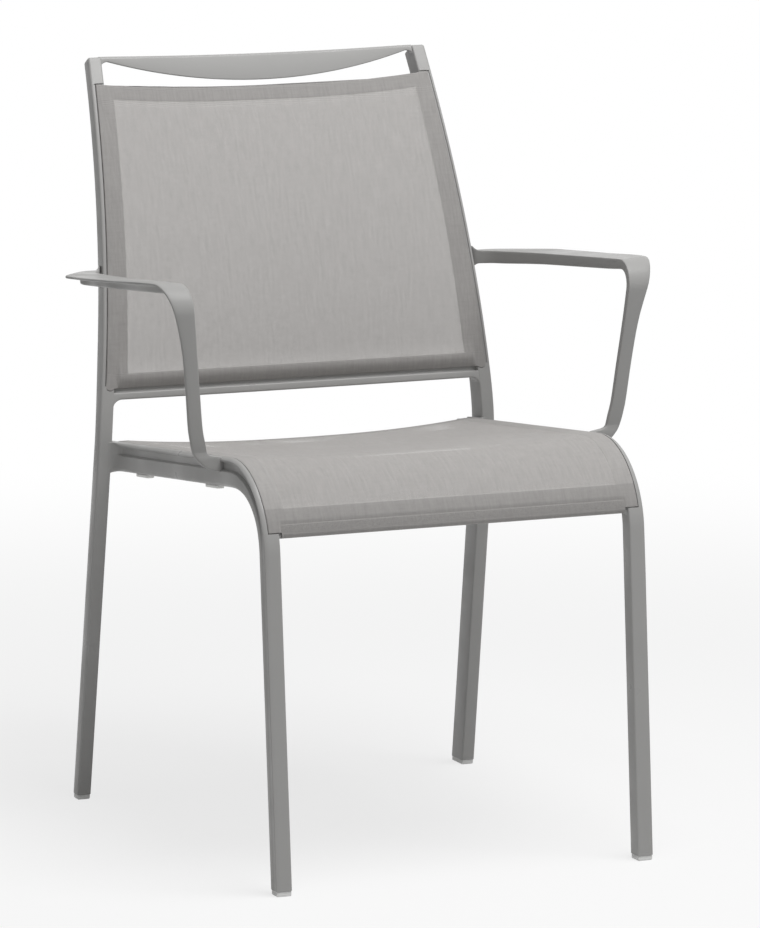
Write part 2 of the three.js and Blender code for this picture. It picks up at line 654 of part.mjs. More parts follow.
/** The top rail: a crescent between the uprights, thin at its ends, leaving a hand-hold below it. */
function topRail() {
  const top = UPRIGHT_TOP - 0.6;
  const span = uprightInnerX(top) - GAP;
  const section = (inset) => {
    const t = Math.min(1, (span - inset) / (span - 7));
    const low = mix(TOP_RAIL_BOTTOM, top - TOP_RAIL_END_HEIGHT, t * t) - filletDrop(inset, 7) * 0.6;
    const high = top - TOP_RAIL_DIP * (1 - t * t);
    const thick = Math.min(TOP_RAIL_THICKNESS, (high - low) * 0.8 + 4);
    return roundedOutline([
      [0, high, 2.4, 2], [thick, high - 1.5, 2.4, 2], [thick * 0.8, low, Math.min(2.4, thick * 0.3), 2],
      [0.5, low + 0.6, 1.6, 2],
    ]);
  };
  const faceY = uprightFaceY(top) + 1.2;
  const place = (t, y, z) => {
    const back = faceY + y + 0.2 * (z - top);
    return new THREE.Vector3(t * uprightReach(z, back - uprightFaceY(z)), back, z);
  };
  return crossRail(span, [0, 2, 7, 21, 43, 73, 108, 150], section, place);
}

/** The rear bar under the back edge of the seat. */
function seatRearBar() {
  const outline = roundedOutline([[-8, -10, 4, 3], [8, -10, 4, 3], [8, 10, 4, 3], [-8, 10, 4, 3]]);
  const end = railInnerX(RAIL_REAR.x - REAR_BAR_Y) - GAP - 0.1;
  return loft([-end, -end / 2, 0, end / 2, end].map((x) => {
    const bow = 5 * (1 - (x / end) ** 2);
    return { outline, place: (y, z) => new THREE.Vector3(x, REAR_BAR_Y + y, 410.4 - bow + z) };
  }));
}

/** The spreader: a bowed tube with a flange at each end that is screwed to the inside of the rail. */
function seatSpreader() {
  const distance = RAIL_REAR.x - SPREADER_Y;
  const end = railInnerX(distance + 23) - GAP;
  const height = railPath.at(distance).point.y - 19;
  const circle = steps(11).map((t) => new THREE.Vector2(Math.cos(t * Math.PI * 11 / 6), Math.sin(t * Math.PI * 11 / 6)))
    .map((p) => p.multiplyScalar(SPREADER_RADIUS));
  const tube = loft(steps(12).map((t) => mix(-end + 2, end - 2, t)).map((x) => {
    const bow = SPREADER_BOW * (1 - (x / end) ** 2);
    return { outline: circle, place: (y, z) => new THREE.Vector3(x, SPREADER_Y + y, height - bow + z) };
  }));
  const plate = roundedOutline([[-23, -9, 5, 3], [23, -9, 5, 3], [23, 9, 5, 3], [-23, 9, 5, 3]]);
  const flange = (side) => cut(
    loft([side * (end - 4), side * end].map((x) => ({
      outline: plate, place: (y, z) => new THREE.Vector3(x, SPREADER_Y + y, height + z),
    }))),
    ...[-16, 16].map((y) => new THREE.CylinderGeometry(3, 3, 20, 12).rotateZ(Math.PI / 2)
      .translate(side * end, SPREADER_Y + y, height)),
  );
  return { body: join(tube, flange(-1), flange(1)), end, height };
}

/** A flange screw: a domed head with a hex socket on the spreader's flange. */
function flangeScrew() {
  const profile = [[0, 0], [2.6, 0], [2.6, 4.3], [5, 4.3], [5, 5.2], [4.2, 6.8], [2.4, 7.7], [0, 8]];
  const screw = new THREE.LatheGeometry(profile.map(([r, h]) => new THREE.Vector2(r, h)), 12);
  const socket = new THREE.CylinderGeometry(1.7, 1.7, 4, 6).translate(0, 8, 0);
  return cut(screw, socket);
}

// Slings

/** Ring of a sling section: a thin band that dips into both channels. */
function slingOutline(half, seat, level, count) {
  const neck = CHANNEL_NECK / 2 - 0.5;
  const inside = half - seat;
  const across = steps(count).map((t) => mix(-inside, inside, t));
  const outer = [
    new THREE.Vector2(-half - neck, -CHANNEL_SEAT - 2.2), new THREE.Vector2(-half - neck, CLOTH),
    ...across.map((x) => new THREE.Vector2(x, CLOTH + level(x))),
    new THREE.Vector2(half + neck, CLOTH), new THREE.Vector2(half + neck, -CHANNEL_SEAT - 2.2),
  ];
  const inner = [
    new THREE.Vector2(half - neck, -CHANNEL_SEAT - 2.2), new THREE.Vector2(half - neck, 0),
    ...across.reverse().map((x) => new THREE.Vector2(x, level(x))),
    new THREE.Vector2(-half + neck, 0), new THREE.Vector2(-half + neck, -CHANNEL_SEAT - 2.2),
  ];
  return [...outer, ...inner];
}

/** The back sling: flat across between the channels, with a top edge cut in a shallow dip. */
function backSling() {
  const heights = [BACK_SLING_BOTTOM, ...UPRIGHT_HEIGHTS.filter((z) => z > 500 && z < 820), BACK_SLING_TOP];
  return loft(heights.map((z) => {
    const half = uprightInnerX(z) + UPRIGHT_SLOT;
    const dip = BACK_TOP_DIP * smooth((z - 700) / (BACK_SLING_TOP - 700));
    const place = (x, level) => {
      const height = z - dip * (1 - Math.min(1, Math.abs(x) / half) ** 2.6);
      const p = uprightPlace(height)(0, CHANNEL_SEAT - GAP - level);
      p.x = x;
      return p;
    };
    return { outline: slingOutline(half, UPRIGHT_SLOT + 1, () => 0, 12), place };
  }), true);
}

/** The seat sling: level between the rails at the front bar, sagging towards the back. */
function seatSling() {
  const { bendStart } = railPath;
  const rear = (RAIL_REAR.x - SEAT_SLING_REAR_Y) * 1.004;
  const front = seatChannelEnd - 0.8;
  const distances = [...steps(7).slice(0, -1).map((t) => mix(rear, bendStart, t)), ...channelBends, front];
  return loft(distances.map((distance) => {
    const half = railInnerX(distance) + RAIL_SLOT;
    const sag = SEAT_SAG * (1 - smooth((distance - 0.55 * bendStart) / (front - 0.55 * bendStart)));
    const level = (x) => -sag * (1 - (Math.abs(x) / (half - RAIL_SLOT)) ** 3.2);
    const place = railPlace(distance);
    return {
      outline: slingOutline(half, RAIL_SLOT + 1, level, 12),
      place: (x, height) => {
        const p = place(0, CHANNEL_SEAT - GAP - height);
        p.x = x;
        return p;
      },
    };
  }), true);
}

/** A rod in the bore of a channel. */
function channelRod(places, slot) {
  const circle = steps(7).map((t) => new THREE.Vector2(Math.cos(t * Math.PI * 7 / 4), Math.sin(t * Math.PI * 7 / 4)))
    .map((p) => new THREE.Vector2(slot + p.x * ROD_RADIUS, CHANNEL_BORE_DEPTH + p.y * ROD_RADIUS));
  return loft(places.map((place) => ({ outline: circle, place })));
}

// Stacking pads under the seat rails

function stackingPad(y) {
  const distance = RAIL_REAR.x - y;
  const place = railPlace(distance);
  const { tangent } = railPath.at(distance);
  const depth = railDepth(distance);
  const outline = (inset) => roundedOutline([
    [-19 + inset, 4 + inset, 3, 3], [19 - inset, 4 + inset, 3, 3],
    [19 - inset, 13.4 - inset, 3, 3], [-19 + inset, 13.4 - inset, 3, 3],
  ]);
  const at = (below) => (along, u) => {
    const p = place(u, depth + below);
    p.y += tangent.x * along;
    p.z += tangent.y * along;
    return p;
  };
  return loft([
    { outline: outline(0), place: at(0.5) }, { outline: outline(0), place: at(2.8) },
    { outline: outline(1), place: at(3.8) },
  ]);
}

// Assembly

const chair = new THREE.Group();
const centred = new THREE.Group();
centred.position.y = CENTRE_SHIFT;
chair.add(centred);

function add(name, geometry, material) {
  const mesh = new THREE.Mesh(geometry, material);
  mesh.name = name;
  centred.add(mesh);
  return mesh;
}

function addPair(name, geometry, material) {
  add(`right_${name}`, geometry, material);
  add(`left_${name}`, mirrored(geometry), material);
}

const rail = rightSeatRail();
addPair('rear_upright', rightUpright(), frameFinish);
addPair('seat_rail_and_front_leg', rail.body, frameFinish);
addPair('armrest', rightArmrest(), frameFinish);
add('top_rail', topRail(), frameFinish);
add('lower_back_rail', lowerBackRail(), frameFinish);
add('seat_front_bar', seatFrontBar(), frameFinish);
add('seat_rear_bar', seatRearBar(), frameFinish);

const spreader = seatSpreader();
add('seat_spreader_bar', spreader.body, frameFinish);
for (const [side, sideName] of [[1, 'right'], [-1, 'left']]) {
  for (const [y, place] of [[-16, 'front'], [16, 'rear']]) {
    const screw = flangeScrew().rotateZ(side * Math.PI / 2).translate(side * (spreader.end - 0.2), SPREADER_Y + y, spreader.height);
    add(`${sideName}_${place}_flange_screw`, screw, steelFinish);
  }
}

add('back_sling', backSling(), slingFinish);
add('seat_sling', seatSling(), slingFinish);
const rodHeights = [BACK_SLING_SIDE_END + 8, ...UPRIGHT_HEIGHTS.filter((z) => z > 500 && z < 820), BACK_SLING_TOP - 2];
addPair('back_sling_rod', channelRod(rodHeights.map(uprightPlace), UPRIGHT_SLOT), rodFinish);
const rodDistances = [14, ...channelBends, seatChannelEnd - 3];
addPair('seat_sling_rod', channelRod(rodDistances.map(railPlace), RAIL_SLOT), rodFinish);

addPair('rear_foot_glide', glide(uprightOutline, uprightPlaceLevel), plasticFinish);
addPair('front_foot_glide', glide((inset) => railOutline(RAIL_WIDTH, LEG_DEPTH, inset), rail.level), plasticFinish);
addPair('rear_stacking_pad', stackingPad(137), plasticFinish);
addPair('front_stacking_pad', stackingPad(-72), plasticFinish);

export default chair;
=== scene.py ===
"""A stacking sling patio armchair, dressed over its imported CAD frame.

Shapes are worked out as whole numpy arrays in millimetres and handed to Blender in metres. +Z is up and
the front of the chair faces -Y. The guide lines repeat the ones that the CAD frame was drawn with, and the
right half is mirrored to make the left.
"""

from __future__ import annotations

import logging
import math
from dataclasses import dataclass, field
from enum import Enum
from typing import Sequence, Union

import bpy
import numpy as np
from mathutils import Matrix, Vector

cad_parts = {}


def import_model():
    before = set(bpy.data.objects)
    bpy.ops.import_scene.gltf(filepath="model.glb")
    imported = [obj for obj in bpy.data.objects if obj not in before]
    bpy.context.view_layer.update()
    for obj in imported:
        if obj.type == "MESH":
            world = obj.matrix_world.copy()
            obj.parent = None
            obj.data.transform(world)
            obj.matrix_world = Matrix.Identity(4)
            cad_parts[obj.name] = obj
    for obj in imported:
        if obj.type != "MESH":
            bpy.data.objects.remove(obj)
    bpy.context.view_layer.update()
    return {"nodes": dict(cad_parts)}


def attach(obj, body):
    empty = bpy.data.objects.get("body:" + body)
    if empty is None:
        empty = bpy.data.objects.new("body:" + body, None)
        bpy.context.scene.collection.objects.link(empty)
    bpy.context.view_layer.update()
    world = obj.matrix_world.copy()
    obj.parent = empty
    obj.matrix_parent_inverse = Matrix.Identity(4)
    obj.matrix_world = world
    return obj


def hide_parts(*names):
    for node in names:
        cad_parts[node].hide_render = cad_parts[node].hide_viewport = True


Number = Union[float, np.ndarray]
Feed = Union[bpy.types.NodeSocket, float, Sequence[float]]
log = logging.getLogger("armchair")

# Metres in a millimetre, and the name of the chair's one rigid body.
MM = 0.001
BODY = "root"
# From the guide lines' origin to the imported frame's along Y, in millimetres like every size below.
FRAME_SHIFT = -38.36
# Clearance between pieces that only touch, and how far one member runs into another at a weld.
GAP = 0.3
WELD = 0.8
# Corners of a rectangle, in order round it, as signs of its two half sizes.
SQUARE = ((-1, -1), (1, -1), (1, 1), (-1, 1))
# Further than any flare reaches.
FAR = 1000.0
# Steps of the arc at the first corner of the upright's and the rail's sections.
CORNER_STEPS = 4


class Slot(Enum):
    """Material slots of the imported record."""

    FRAME = "frame"
    SLING = "sling"
    PLASTIC = "glide_and_pad"
    ROD = "sling_rod"
    SCREW = "screw"


class Side(Enum):
    """The two sides of the chair, with the sign of X on each."""

    RIGHT = 1
    LEFT = -1

    @property
    def word(self) -> str:
        """The side's name, as node names start with it."""
        return self.name.lower()


# Small array helpers


def smooth(t: Number) -> Number:
    """Smoothstep of t, held at 0 below 0 and at 1 above 1."""
    c = np.clip(t, 0.0, 1.0)
    return c * c * (3 - 2 * c)


def step_at(past: Number, half: float) -> Number:
    """A smooth step from 0 to 1 that takes up a distance of half on each side of past = 0."""
    return smooth(past / half * 0.5 + 0.5)


def mix(a: Number, b: Number, t: Number) -> Number:
    """The value a share t of the way from a to b."""
    return a + (b - a) * t


def fillet_left(distance: Number, radius: float) -> Number:
    """Share of a round fillet left at a distance from the face it grows out of: 1 - sqrt(1 - t^2)."""
    t = np.clip(1 - distance / radius, 0, 1)
    return 1 - np.sqrt(1 - t * t)


def shrunk(radius: float, inset: Number, least: float = 0.4) -> Number:
    """A corner's radius in a section that is drawn in, but never less than the least."""
    return np.maximum(least, radius - inset)


def quarter(count: int) -> np.ndarray:
    """Angles through a quarter turn."""
    return np.linspace(0, math.pi / 2, count)


def whole_turn(count: int) -> np.ndarray:
    """Angles once round, without the last one, which is the first again."""
    return np.linspace(0, 2 * math.pi, count, endpoint=False)


def crowded(count: int) -> np.ndarray:
    """Shares from 0 to 1 that lie closer together near 0."""
    return np.linspace(0, 1, count) ** 1.6


def hermite(t: Number, h: Number, values: tuple[Number, Number], slopes: tuple[Number, Number]) -> Number:
    """Cubic between two knots: the values fade over by 3t^2 - 2t^3, and each slope adds its own bump.

    Args:
        t: shares of the way from the first knot to the second.
        h: the distance between them.
        values: the values at the knots.
        slopes: the slopes there.

    Returns:
        The curve's values at t.
    """
    rise = 3 * t**2 - 2 * t**3
    faded = (1 - rise) * values[0] + rise * values[1]
    return faded + (t**3 - 2 * t**2 + t) * h * slopes[0] + (t**3 - t**2) * h * slopes[1]


def table_at(rows: Sequence[Sequence[float]], position: np.ndarray) -> np.ndarray:
    """Smooth values of a table of [position, value, ...] rows, without overshoot.

    The slope at a row is the harmonic mean of the slopes on its two sides, or 0 where they differ in sign.

    Args:
        rows: the table, one row per knot.
        position: where to read it, one number per station.

    Returns:
        One row of values per station.
    """
    table = np.asarray(rows, float)
    x, v = table[:, 0], table[:, 1:]
    step = np.diff(v, axis=0) / np.diff(x)[:, None]
    slope = np.zeros_like(v)
    product = step[:-1] * step[1:]
    total = np.where(product > 0, step[:-1] + step[1:], 1.0)
    slope[1:-1] = np.where(product > 0, 2 * product / total, 0.0)
    at = np.clip(position, x[0], x[-1])
    i = np.clip(np.searchsorted(x, at, side="right") - 1, 0, len(x) - 2)
    h = (x[i + 1] - x[i])[:, None]
    return hermite((at - x[i])[:, None] / h, h, (v[i], v[i + 1]), (slope[i], slope[i + 1]))


def unit(v: np.ndarray) -> np.ndarray:
    """Vectors of length 1 in the same directions, or 0 where there is none."""
    return v / np.maximum(np.linalg.norm(v, axis=-1, keepdims=True), 1e-12)


def column(value: Number, count: int) -> np.ndarray:
    """A number, or one number per station, as an array of count stations."""
    return np.broadcast_to(np.asarray(value, float), (count,))


def outline(count: int, corners: Sequence[tuple]) -> np.ndarray:
    """Closed outlines with rounded corners, one for each of count stations.

    A corner with a radius becomes an arc that touches both its sides: the arc's centre lies on the
    bisector, at radius over the sine of half the corner's angle.

    Args:
        count: how many stations there are.
        corners: (u, v, radius, steps) of each corner, where each number may be one per station.

    Returns:
        An array of stations, points and the two coordinates u and v.
    """
    at = np.stack([np.stack([column(c[0], count), column(c[1], count)], -1) for c in corners], 1)
    radius = np.stack([column(c[2] if len(c) > 2 else 0, count) for c in corners], 1)
    before = unit(np.roll(at, 1, axis=1) - at)
    after = unit(np.roll(at, -1, axis=1) - at)
    half = np.arccos(np.clip((before * after).sum(-1), -1, 1)) / 2
    centre = at + unit(before + after) * (radius / np.sin(half))[..., None]
    reach = (radius / np.tan(half))[..., None]
    spokes = [at + before * reach - centre, at + after * reach - centre]
    start, end = (np.arctan2(s[..., 1], s[..., 0]) for s in spokes)
    turn = np.arctan2(np.sin(end - start), np.cos(end - start))
    parts = []
    for c, corner in enumerate(corners):
        steps = corner[3] if len(corner) > 3 else 0
        if not steps:
            parts.append(at[:, c : c + 1])
            continue
        angle = start[:, c, None] + turn[:, c, None] * np.linspace(0, 1, steps + 1)
        arc = np.stack([np.cos(angle), np.sin(angle)], -1) * radius[:, c, None, None]
        parts.append(centre[:, c, None] + arc)
    return np.concatenate(parts, axis=1)


def spread(*runs: tuple[float, float, int]) -> np.ndarray:
    """Sorted positions from several (start, end, count) runs."""
    return np.unique(np.round(np.concatenate([np.linspace(*run) for run in runs]), 4))


# Meshes


@dataclass
class Shell:
    """A closed surface in millimetres: points, four-sided faces, end faces and what it carries."""

    points: np.ndarray
    quads: np.ndarray
    caps: list[np.ndarray] = field(default_factory=list)
    uv: np.ndarray | None = None
    layers: np.ndarray | None = None

    def flipped(self, points: np.ndarray) -> Shell:
        """The surface through other points, with its faces turned round."""
        turned = [cap[::-1] for cap in self.caps]
        return Shell(points, self.quads[:, ::-1], turned, self.uv, self.layers)

    def mirrored(self) -> Shell:
        """The same surface on the other side of the chair."""
        return self.flipped(self.points * (-1, 1, 1))

    def facing_out(self) -> Shell:
        """The surface with its faces turned round if the volume that they enclose is negative.

        The volume is the sum over triangles of a . (b x c), with each end face cut into a fan.

        Returns:
            This surface, or one with its faces turned round.
        """
        fans = [np.stack([np.full(len(c) - 2, c[0]), c[1:-1], c[2:]], -1) for c in self.caps]
        triangles = np.concatenate([self.quads[:, :3], self.quads[:, [0, 2, 3]], *fans])
        a, b, c = (self.points[triangles[:, k]] for k in range(3))
        return self if np.einsum("ij,ij->", a, np.cross(b, c)) >= 0 else self.flipped(self.points)


def loft(rings: np.ndarray, uv: np.ndarray | None = None, layers: np.ndarray | None = None) -> Shell:
    """A closed surface through rings of points, with a flat face at each end.

    Args:
        rings: stations, points around and the three coordinates, in millimetres.
        uv: texture coordinates in metres for the same points.
        layers: how many layers of cloth lie at each point.

    Returns:
        The surface, its faces outward.
    """
    stations, around = rings.shape[:2]
    index = np.arange(stations * around).reshape(stations, around)
    turned = np.roll(index, -1, axis=1)
    quads = np.stack([index[:-1], turned[:-1], turned[1:], index[1:]], -1).reshape(-1, 4)
    flat = None if uv is None else uv.reshape(-1, 2)
    sheets = None if layers is None else layers.reshape(-1)
    return Shell(rings.reshape(-1, 3), quads, [index[0, ::-1], index[-1]], flat, sheets).facing_out()


def joined(*shells: Shell) -> Shell:
    """Several closed surfaces in one mesh.

    Args:
        shells: the surfaces.

    Returns:
        One surface that holds them all.
    """
    offsets = np.cumsum([0] + [len(s.points) for s in shells[:-1]])
    caps = [cap + o for s, o in zip(shells, offsets) for cap in s.caps]
    points = np.concatenate([s.points for s in shells])
    return Shell(points, np.concatenate([s.quads + o for s, o in zip(shells, offsets)]), caps)


def add_piece(
    name: str,
    shell: Shell,
    material: bpy.types.Material,
    slot: Slot,
    replaces: Sequence[str] = (),
    sharp: float = 40.0,
    subdivision: int = 0,
) -> bpy.types.Object:
    """Puts a surface into the scene as a piece of the chair.

    Args:
        name: the piece's name.
        shell: its surface, about the guide lines' own origin.
        material: its finish.
        slot: the record's material slot; not used.
        replaces: CAD nodes that it stands for.
        sharp: edges that turn by more than this many degrees stay sharp.
        subdivision: levels of subdivision surface.

    Returns:
        The new object.
    """
    mesh = bpy.data.meshes.new(name)
    loops = np.concatenate([shell.quads.ravel(), *shell.caps]).astype(np.int32)
    sizes = np.array([4] * len(shell.quads) + [len(cap) for cap in shell.caps], np.int32)
    starts = np.concatenate([[0], np.cumsum(sizes)[:-1]]).astype(np.int32)
    metres = (shell.points + (0, FRAME_SHIFT, 0)) * MM
    mesh.vertices.add(len(metres))
    mesh.vertices.foreach_set("co", metres.astype(np.float32).ravel())
    mesh.loops.add(len(loops))
    mesh.loops.foreach_set("vertex_index", loops)
    mesh.polygons.add(len(sizes))
    mesh.polygons.foreach_set("loop_start", starts)
    mesh.update(calc_edges=True)
    mesh.polygons.foreach_set("use_smooth", np.ones(len(sizes), bool))
    if shell.uv is not None:
        mesh.uv_layers.new(name="Cloth").data.foreach_set("uv", shell.uv[loops].astype(np.float32).ravel())
    if shell.layers is not None:
        attribute = mesh.attributes.new("layers", "FLOAT", "POINT")
        attribute.data.foreach_set("value", shell.layers.astype(np.float32))
    mesh.set_sharp_from_angle(angle=math.radians(sharp))
    mesh.materials.append(material)
    piece = bpy.data.objects.new(name, mesh)
    bpy.context.scene.collection.objects.link(piece)
    if subdivision:
        modifier = piece.modifiers.new("Subdivision", "SUBSURF")
        modifier.levels = modifier.render_levels = subdivision
    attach(piece, BODY)
    if replaces:
        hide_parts(*replaces)
    log.info("%s: %d points", name, len(shell.points))
    return piece


def add_pair(
    name: str,
    shell: Shell,
    material: bpy.types.Material,
    slot: Slot,
    node: str,
    **options: float,
) -> None:
    """Adds the right-hand piece and its mirror image, each standing for its own side's CAD node.

    Args:
        name: the pieces' name without the side.
        shell: the right-hand surface.
        material: their finish.
        slot: the record's material slot.
        node: the CAD node that they stand for, without the side.
        options: more arguments of add_piece.
    """
    for side in Side:
        own = shell if side is Side.RIGHT else shell.mirrored()
        add_piece(f"{side.word}_{name}", own, material, slot, [f"{side.word}_{node}"], **options)


# Guide lines


@dataclass(frozen=True)
class SidePath:
    """Two straight runs in side view with a round bend between them, read by distance from the start."""

    start: tuple[float, float]
    corner: tuple[float, float]
    end: tuple[float, float]
    radius: float

    @property
    def runs(self) -> tuple[np.ndarray, np.ndarray, float]:
        """Directions of the two runs and the angle between them.

        Returns:
            The two unit vectors (y, z) and the angle in radians.
        """
        into = unit(np.subtract(self.corner, self.start))
        out = unit(np.subtract(self.end, self.corner))
        return into, out, math.acos(float(into @ out))

    @property
    def bend_start(self) -> float:
        """Distance at which the bend begins."""
        reach = self.radius * math.tan(self.runs[2] / 2)
        return float(np.linalg.norm(np.subtract(self.corner, self.start))) - reach

    @property
    def bend_end(self) -> float:
        """Distance at which the bend ends."""
        return self.bend_start + self.radius * self.runs[2]

    @property
    def length(self) -> float:
        """Length of the whole path."""
        reach = self.radius * math.tan(self.runs[2] / 2)
        return self.bend_end + float(np.linalg.norm(np.subtract(self.end, self.corner))) - reach

    def bent(self, distance: Number) -> Number:
        """Share of the bend that lies behind a distance."""
        return np.clip((distance - self.bend_start) / (self.bend_end - self.bend_start), 0, 1)

    def at(self, distance: np.ndarray) -> tuple[np.ndarray, np.ndarray]:
        """Points (y, z) on the path and the outward directions there.

        The tangent turns by the bend's angle times the share of the bend passed, and the point is the run's
        point plus the chord of the arc, which is the difference of the outward directions times the radius.

        Args:
            distance: distances along the path.

        Returns:
            The points and the unit vectors square to the path, away from the bend's centre.
        """
        into, out, turn = self.runs
        angle = turn * self.bent(distance)
        cos, sin = np.cos(angle)[..., None], np.sin(angle)[..., None]
        side = np.array([-into[1], into[0]])
        tangent = into * cos + side * sin
        outward = np.stack([tangent[..., 1], -tangent[..., 0]], -1)
        first = np.array([into[1], -into[0]])
        run = np.minimum(distance, self.bend_start)[..., None]
        past = np.maximum(0, distance - self.bend_end)[..., None]
        return self.start + into * run + (outward - first) * self.radius + out * past, outward

    def below(self, distance: np.ndarray, depth: np.ndarray) -> tuple[np.ndarray, np.ndarray]:
        """Points at a depth square to the path, on its inner side.

        Args:
            distance: one distance along the path per station.
            depth: depths of each station's points.

        Returns:
            The points' y and their z.
        """
        point, outward = self.at(distance)
        y, z = (point[:, k, None] - depth * outward[:, k, None] for k in range(2))
        return y, z


@dataclass(frozen=True)
class Channel:
    """The keyhole channel of a sling's rod: a shallow seat for the cloth, a neck and a round bore."""

    slot: float
    # points on the flat between the member's first corner and the channel
    flats: int
    seat: float = 1.4
    neck: float = 1.2
    bore: float = 2.7
    depth: float = 7.4
    # how far the cloth's seat runs on past the neck, and the points round the bore
    ledge: float = 0.2
    bore_points: int = 13

    @property
    def inner_points(self) -> int:
        """Points of a section from the member's inner side to the channel's near edge."""
        return CORNER_STEPS + 1 + self.flats + 1

    def near_side(self, inset: np.ndarray) -> list[tuple]:
        """Outline corners from the member's inner side to the channel: a round, then points on the flat.

        Args:
            inset: how far the section is drawn in at each station.

        Returns:
            Corners for outline().
        """
        shares = np.linspace(0, 1, self.flats, endpoint=False)
        flat = [(mix(2.6, self.slot - self.neck, t), inset) for t in shares]
        return [(inset, inset, shrunk(2, inset), CORNER_STEPS), *flat]

    def corners(self, count: int, opened: np.ndarray, face: Number) -> list[tuple]:
        """Outline corners across the slot, which spread out along the face where the channel is shut.

        Args:
            count: how many stations there are.
            opened: 1 at a station where the channel is open and 0 where it is not.
            face: height of the plain face at each station.

        Returns:
            Corners for outline().
        """
        half = math.asin(self.neck / self.bore)
        turn = -math.pi / 2 - half - (2 * math.pi - 2 * half) * np.linspace(0, 1, self.bore_points)
        past = self.neck + self.ledge
        u = np.concatenate([[-self.neck], self.bore * np.cos(turn), [self.neck, past, past]]) + self.slot
        v = np.concatenate([[self.seat], self.depth + self.bore * np.sin(turn), [self.seat, self.seat, 0]])
        flat = np.linspace(self.slot - self.neck, self.slot + past, len(u))
        face = column(face, count)
        return [(mix(flat[k], u[k], opened), face + v[k] * opened) for k in range(len(u))]


